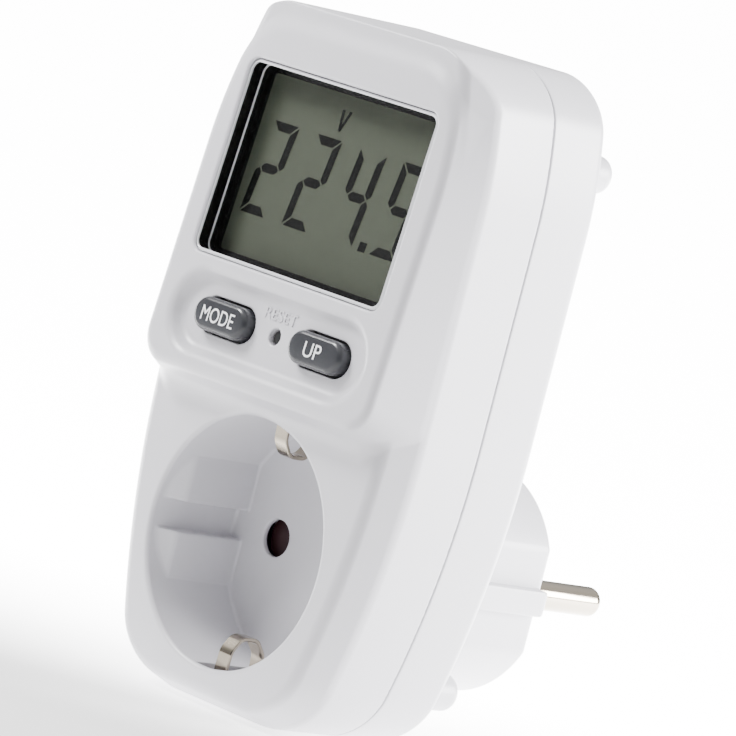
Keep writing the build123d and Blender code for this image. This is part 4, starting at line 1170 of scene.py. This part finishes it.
# ---------------------------------------------------------------- inner parts
def dress_inner_parts() -> None:
    """Gives each CAD node that still shows its own finish."""
    for name, finish in INNER_FINISHES.items():
        part = frame["nodes"][name]
        part.data.materials.clear()
        part.data.materials.append(finish.make())
        LOG.info("%s: %s", name, finish.name)


# ---------------------------------------------------------------- camera, light and floor
@dataclass(frozen=True)
class Studio:
    """White table, white surroundings and soft lamps, with a long lens."""

    azimuth: float = 46.463
    elevation: float = 5.194
    roll: float = 14.505
    target: tuple[float, float, float] = (-7.235, -26.385, 29.184)
    distance: float = 976.95
    lens: float = 304.61
    sensor: float = 36.0
    ahead: float = 0.05
    around: float = 0.4
    above: float = 1.3

    def camera(self) -> bpy.types.Object:
        """Makes the camera and gives it to the scene."""
        azimuth, elevation = math.radians(self.azimuth), math.radians(self.elevation)
        back = Vector((
            math.sin(azimuth) * math.cos(elevation),
            -math.cos(azimuth) * math.cos(elevation),
            math.sin(elevation),
        ))
        data = bpy.data.cameras.new("camera")
        data.lens, data.sensor_width = self.lens, self.sensor
        data.clip_start, data.clip_end = 0.01, 50.0
        eye = linked("camera", data)
        turned = back.to_track_quat("Z", "Y").to_matrix() @ Matrix.Rotation(math.radians(self.roll), 3, "Z")
        spot = (Vector(self.target) + back * self.distance) * MM
        eye.matrix_world = Matrix.Translation(spot) @ turned.to_4x4()
        bpy.context.scene.camera = eye
        return eye

    def lamp(self, name: str, place_at: tuple, size: float, power: float, colour: str) -> None:
        """Square soft lamp that points at the meter."""
        data = bpy.data.lights.new(name, "AREA")
        data.shape, data.size, data.energy = "SQUARE", size, power
        data.color = linear(colour)[:3]
        lamp = linked(name, data)
        aim = Vector(self.target) * MM
        lamp.location = place_at
        lamp.rotation_mode = "QUATERNION"
        lamp.rotation_quaternion = (Vector(place_at) - aim).to_track_quat("Z", "Y")

    def surroundings(self) -> None:
        """White light from all round: strongest above, weakest behind the camera."""
        world = bpy.data.worlds.new("surroundings")
        world.use_nodes = True
        tree = world.node_tree
        shader = tree.nodes["Background"]
        shader.inputs["Color"].default_value = linear("#FFFFFF")
        way = node(tree, "ShaderNodeTexCoord").outputs["Generated"]
        axes = node(tree, "ShaderNodeSeparateXYZ", None, {"Vector": way}).outputs
        azimuth = math.radians(self.azimuth)
        facing = node(tree, "ShaderNodeVectorMath", {"operation": "DOT_PRODUCT"})
        tree.links.new(way, facing.inputs[0])
        facing.inputs[1].default_value = (math.sin(azimuth), -math.cos(azimuth), 0.0)
        level = (self.ahead, self.around)
        around = map_range(tree, facing.outputs["Value"], (0.95, 0.1), level, "SMOOTHSTEP")
        above = map_range(tree, axes["Z"], (0.2, 0.95), (0.0, self.above), "SMOOTHSTEP")
        total = node(tree, "ShaderNodeMath", {"operation": "ADD"})
        tree.links.new(around, total.inputs[0])
        tree.links.new(above, total.inputs[1])
        tree.links.new(total.outputs["Value"], shader.inputs["Strength"])
        bpy.context.scene.world = world

    def floor(self) -> None:
        """Wide pale floor under the case, with a painted glow behind the meter."""
        level = D.bottom * MM
        sheet = bmesh.new()
        bmesh.ops.create_grid(sheet, x_segments=4, y_segments=4, size=6.0)
        mesh = bpy.data.meshes.new("floor")
        sheet.to_mesh(mesh)
        sheet.free()
        table = linked("floor", mesh)
        table.location = (0.0, 0.0, level)
        mesh.materials.append(BoardWithPaintedGlow().make())


# ---------------------------------------------------------------- materials
UNIT_SPAN = (0.0, 1.0)


def linear(code: str, alpha: float = 1.0) -> tuple[float, float, float, float]:
    """Linear colour from an sRGB hex code such as #E8E6EC."""
    parts = [int(code[i:i + 2], 16) / 255 for i in (1, 3, 5)]
    red, green, blue = [p / 12.92 if p <= 0.04045 else ((p + 0.055) / 1.055) ** 2.4 for p in parts]
    return red, green, blue, alpha


def node(
    tree: bpy.types.NodeTree, kind: str, settings: dict | None = None, links: dict | None = None
) -> bpy.types.Node:
    """Adds one shader node.

    Args:
        tree: Node tree that it goes into.
        kind: Blender's name of the node type.
        settings: Attributes, or input sockets by name, and their values.
        links: Input sockets by name, and the output sockets that feed them.

    Returns:
        The new node.
    """
    made = tree.nodes.new(kind)
    for key, value in (settings or {}).items():
        if key in made.inputs:
            made.inputs[key].default_value = value
        else:
            setattr(made, key, value)
    for key, source in (links or {}).items():
        tree.links.new(source, made.inputs[key])
    return made


def map_range(
    tree: bpy.types.NodeTree, source: bpy.types.NodeSocket, start: tuple[float, float],
    end: tuple[float, float], kind: str = "LINEAR",
) -> bpy.types.NodeSocket:
    """Maps a value from one span to another.

    Args:
        tree: Node tree that it goes into.
        source: Socket that gives the value.
        start: Span that is mapped.
        end: Span that it becomes.
        kind: Blender's name of the curve between them.

    Returns:
        The socket with the mapped value.
    """
    settings = {"interpolation_type": kind, "From Min": start[0], "From Max": start[1]}
    settings.update({"To Min": end[0], "To Max": end[1]})
    return node(tree, "ShaderNodeMapRange", settings, {"Value": source}).outputs["Result"]


@dataclass(frozen=True)
class Finish:
    """What every finish has: a real material's name, colour and shine."""

    name: str
    colour: str
    roughness: float = 0.4
    metallic: float = 0.0
    ior: float = 1.5
    grain_mm: float = 0.35
    grain_depth: float = 0.02
    tone: float = 0.06

    def make(self) -> bpy.types.Material:
        """Builds the material, or returns it if it is there already."""
        found = bpy.data.materials.get(self.name)
        if found:
            return found
        material = bpy.data.materials.new(self.name)
        material.use_nodes = True
        tree = material.node_tree
        shader = tree.nodes["Principled BSDF"]
        shader.inputs["Metallic"].default_value = self.metallic
        shader.inputs["IOR"].default_value = self.ior
        shader.inputs["Base Color"].default_value = linear(self.colour)
        shader.inputs["Roughness"].default_value = self.roughness
        self.dress(tree, shader)
        return material

    def dress(self, tree: bpy.types.NodeTree, shader: bpy.types.Node) -> None:
        """Moulded or ground surface: slow changes of tone and shine, and a fine grain."""
        place_at = node(tree, "ShaderNodeTexCoord").outputs["Object"]
        slow = node(tree, "ShaderNodeTexNoise", {"Scale": 1 / (14 * MM), "Detail": 3.0}, {"Vector": place_at})
        grain = {"Scale": 1 / (self.grain_mm * MM), "Detail": 4.0}
        fine = node(tree, "ShaderNodeTexNoise", grain, {"Vector": place_at})
        light = linear(self.colour)
        dark = tuple(c * (1 - self.tone) for c in light[:3]) + (1.0,)
        tint = node(tree, "ShaderNodeMix", {"data_type": "RGBA"}, {"Factor": slow.outputs["Fac"]})
        tint.inputs[6].default_value, tint.inputs[7].default_value = light, dark
        tree.links.new(tint.outputs[2], shader.inputs["Base Color"])
        spread = (self.roughness * 0.88, self.roughness * 1.12)
        tree.links.new(map_range(tree, slow.outputs["Fac"], UNIT_SPAN, spread), shader.inputs["Roughness"])
        relief = {"Strength": self.grain_depth * 10, "Distance": self.grain_depth * MM}
        bump = node(tree, "ShaderNodeBump", relief, {"Height": fine.outputs["Fac"]})
        tree.links.new(bump.outputs["Normal"], shader.inputs["Normal"])


@dataclass(frozen=True)
class BoardWithPaintedGlow(Finish):
    """Matt white board with a painted glow: it emits light behind the meter, where no lamp is."""

    name: str = "white_board_painted_glow"
    colour: str = "#DCDCDC"
    roughness: float = 0.9
    grain_depth: float = 0.0
    tone: float = 0.0
    # painted glow: the board's own emission, strongest behind the meter
    glow: float = 14.0
    away: tuple[float, float] = (-0.4, 0.917)
    glow_from: float = -0.09
    glow_to: float = 0.07

    def dress(self, tree: bpy.types.NodeTree, shader: bpy.types.Node) -> None:
        """Fades the glow in behind the meter and keeps it out of the front."""
        place_at = node(tree, "ShaderNodeTexCoord").outputs["Object"]
        along = node(tree, "ShaderNodeVectorMath", {"operation": "DOT_PRODUCT"})
        tree.links.new(place_at, along.inputs[0])
        along.inputs[1].default_value = (*self.away, 0.0)
        span = (self.glow_from, self.glow_to)
        fade = map_range(tree, along.outputs["Value"], span, (0.0, self.glow), "SMOOTHSTEP")
        shader.inputs["Emission Color"].default_value = linear("#FFFFFF")
        tree.links.new(fade, shader.inputs["Emission Strength"])


@dataclass(frozen=True)
class Clear(Finish):
    """Clear polished acrylic, drawn thin: it hides little of what lies behind it."""

    body: float = 0.1

    def dress(self, tree: bpy.types.NodeTree, shader: bpy.types.Node) -> None:
        """Adds a slight haze that varies, and the transparency."""
        place_at = node(tree, "ShaderNodeTexCoord").outputs["Object"]
        haze = node(tree, "ShaderNodeTexNoise", {"Scale": 1 / (9 * MM), "Detail": 2.0}, {"Vector": place_at})
        spread = (self.roughness * 0.7, self.roughness * 1.3)
        tree.links.new(map_range(tree, haze.outputs["Fac"], UNIT_SPAN, spread), shader.inputs["Roughness"])
        shader.inputs["Alpha"].default_value = self.body


@dataclass(frozen=True)
class Brushed(Finish):
    """Metal whose surface was drawn or turned, with fine lines round or along it."""

    line_mm: float = 0.12

    def dress(self, tree: bpy.types.NodeTree, shader: bpy.types.Node) -> None:
        """Fine lines in shine and height, and soft clouding of the plating."""
        place_at = node(tree, "ShaderNodeTexCoord").outputs["Object"]
        stretch = node(tree, "ShaderNodeMapping", {"Scale": (0.06, 1.0, 0.06)}, {"Vector": place_at})
        lines = node(
            tree, "ShaderNodeTexNoise", {"Scale": 1 / (self.line_mm * MM), "Detail": 3.0},
            {"Vector": stretch.outputs["Vector"]},
        )
        cloud = {"Scale": 1 / (3 * MM), "Detail": 3.0}
        clouds = node(tree, "ShaderNodeTexNoise", cloud, {"Vector": place_at})
        spread = (self.roughness * 0.7, self.roughness * 1.5)
        tree.links.new(map_range(tree, clouds.outputs["Fac"], UNIT_SPAN, spread), shader.inputs["Roughness"])
        relief = {"Strength": 0.12, "Distance": 0.01 * MM}
        bump = node(tree, "ShaderNodeBump", relief, {"Height": lines.outputs["Fac"]})
        tree.links.new(bump.outputs["Normal"], shader.inputs["Normal"])


# Injection-moulded ABS: white with a cool cast and a satin gloss
WHITE_ABS = Finish(
    "moulded_white_abs", "#C9C8CD", roughness=0.34, ior=1.53, grain_mm=0.5, grain_depth=0.004, tone=0.015
)
# Polished acrylic: clear, with hard reflections
CLEAR_ACRYLIC = Clear("clear_acrylic", "#1A1B1B", roughness=0.04, ior=1.49, body=0.04)
# Pale, nearly opaque acrylic: a painted highlight for the light that the lens's cut edges catch
LENS_EDGE_PAINTED_HIGHLIGHT = Clear("acrylic_edge_painted_highlight", "#EEEFF2", roughness=0.12, ior=1.49, body=0.8)
# Black moulded ABS with a fine spark-eroded grain
BLACK_CARRIER = Finish(
    "moulded_black_abs", "#070708", roughness=0.24, ior=1.53, grain_mm=0.25, grain_depth=0.002
)
# Liquid crystal cell behind a reflective polariser: flat grey with a green cast
DISPLAY_GLASS = Finish(
    "polariser_film", "#474B41", roughness=0.2, ior=1.5, grain_mm=0.2, grain_depth=0.001, tone=0.05
)
# Energised liquid crystal: nearly black, the same film on top
DISPLAY_INK = Finish(
    "energised_crystal", "#080908", roughness=0.2, ior=1.5, grain_mm=0.2, grain_depth=0.001, tone=0.1
)
# Moulded ABS key, mid grey with a soft satin surface
KEY_GREY = Finish(
    "moulded_grey_abs", "#2F3034", roughness=0.25, ior=1.53, grain_mm=0.3, grain_depth=0.006, tone=0.08
)
# The same grey ABS, a little rougher, painted darker as the shade deep in its hole
RESET_GREY_PAINTED_SHADE = Finish(
    "grey_abs_painted_shade", "#151517", roughness=0.3, ior=1.53, grain_mm=0.2, grain_depth=0.01, tone=0.12
)
# Pad-printed white ink
LEGEND_WHITE = Finish(
    "printed_white_ink", "#F2F2F4", roughness=0.5, ior=1.5, grain_mm=0.15, grain_depth=0.002, tone=0.02
)
# Nickel plate over turned or pressed brass: warm grey, bright
NICKEL = Brushed("nickel_plate", "#A89F90", roughness=0.13, metallic=1.0)
# Zinc-plated steel: cooler and duller than nickel
ZINC_STEEL = Brushed("zinc_plated_steel", "#A9ACB0", roughness=0.3, metallic=1.0)
# Phosphor bronze, rolled and bent into spring sleeves: reddish gold, softly bright
SPRING_BRONZE = Brushed("phosphor_bronze", "#B98A52", roughness=0.28, metallic=1.0)
# Manganin strip, drawn and cut for the current shunt: a dull copper brown
MANGANIN = Brushed("manganin_strip", "#A07C5A", roughness=0.3, metallic=1.0)
# Polyamide shutter: dark red, slightly waxy
RED_NYLON = Finish(
    "moulded_red_nylon", "#2E1218", roughness=0.45, ior=1.53, grain_mm=0.3, grain_depth=0.008, tone=0.12
)
# Glass-fibre board with green solder resist
GREEN_BOARD = Finish(
    "solder_resist", "#1F4D33", roughness=0.35, ior=1.5, grain_mm=0.8, grain_depth=0.01, tone=0.25
)
# Paper-phenolic board, tan
PAPER_BOARD = Finish(
    "phenolic_paper_board", "#A58350", roughness=0.6, ior=1.5, grain_mm=0.6, grain_depth=0.01, tone=0.2
)
# Epoxy moulded round chips, switches and the fuse: black and matt
BLACK_EPOXY = Finish(
    "moulded_black_epoxy", "#151517", roughness=0.55, ior=1.55, grain_mm=0.15, grain_depth=0.01, tone=0.15
)
# Potted box of the film capacitor: plain yellow with a satin gloss
YELLOW_FILM = Finish(
    "yellow_film_box", "#C9A63A", roughness=0.4, ior=1.5, grain_mm=0.5, grain_depth=0.004, tone=0.08
)
# Lacquer dipped over the varistor: deep blue, glossy and uneven
BLUE_LACQUER = Finish(
    "dipped_blue_lacquer", "#27498A", roughness=0.25, ior=1.5, grain_mm=0.9, grain_depth=0.02, tone=0.15
)
# Film shrunk over round cans: dark, smooth, with a tight gloss
SLEEVE_FILM = Finish(
    "shrunk_sleeve", "#2B2F3A", roughness=0.3, ior=1.5, grain_mm=0.6, grain_depth=0.01, tone=0.1
)
# Moulded silicone rubber of the display connector: pale grey and matt
SILICONE = Finish(
    "silicone_rubber", "#BFC0C2", roughness=0.6, ior=1.41, grain_mm=0.3, grain_depth=0.006, tone=0.08
)
# Extruded vinyl round the supply leads: brown with a soft shine
LEAD_PVC = Finish(
    "lead_pvc", "#3B2A22", roughness=0.4, ior=1.52, grain_mm=0.4, grain_depth=0.006, tone=0.08
)

INNER_FINISHES = {
    "zebra_strip": SILICONE, "display_board": GREEN_BOARD, "board_screws": ZINC_STEEL,
    "mode_switch": BLACK_EPOXY,
    "up_switch": BLACK_EPOXY, "reset_switch": BLACK_EPOXY, "mode_plunger": KEY_GREY, "up_plunger": KEY_GREY,
    "reset_plunger": KEY_GREY, "metering_chip": BLACK_EPOXY, "clock_crystal": ZINC_STEEL,
    "contact_live": SPRING_BRONZE, "contact_neutral": SPRING_BRONZE, "shunt_link": MANGANIN,
    "neutral_link": SPRING_BRONZE, "earth_bridge": NICKEL, "shutter": RED_NYLON, "shutter_spring": ZINC_STEEL,
    "shutter_retainer": RED_NYLON, "power_board": PAPER_BOARD, "x2_capacitor": YELLOW_FILM,
    "electrolytic_capacitor": SLEEVE_FILM, "varistor": BLUE_LACQUER, "fuse": BLACK_EPOXY,
    "backup_cell": SLEEVE_FILM, "board_link": BLACK_EPOXY, "supply_leads": LEAD_PVC,
}


def main() -> None:
    """Builds the meter and its stage in order, and reports each piece."""
    logging.basicConfig(level=logging.INFO, format="%(message)s")
    studio = Studio()
    studio.camera()
    studio.surroundings()
    studio.floor()
    studio.lamp("key", (-0.25, -0.3, 0.36), 0.16, 4.6, "#FFFFFF")
    studio.lamp("side", (1.3, 1.2, 0.6), 0.9, 140.0, "#FFFFFF")
    FrontHousing().build()
    RearHousing().build()
    Display().build()
    Keys().build()
    Contacts().build()
    dress_inner_parts()


if __name__ == "__main__":
    main()
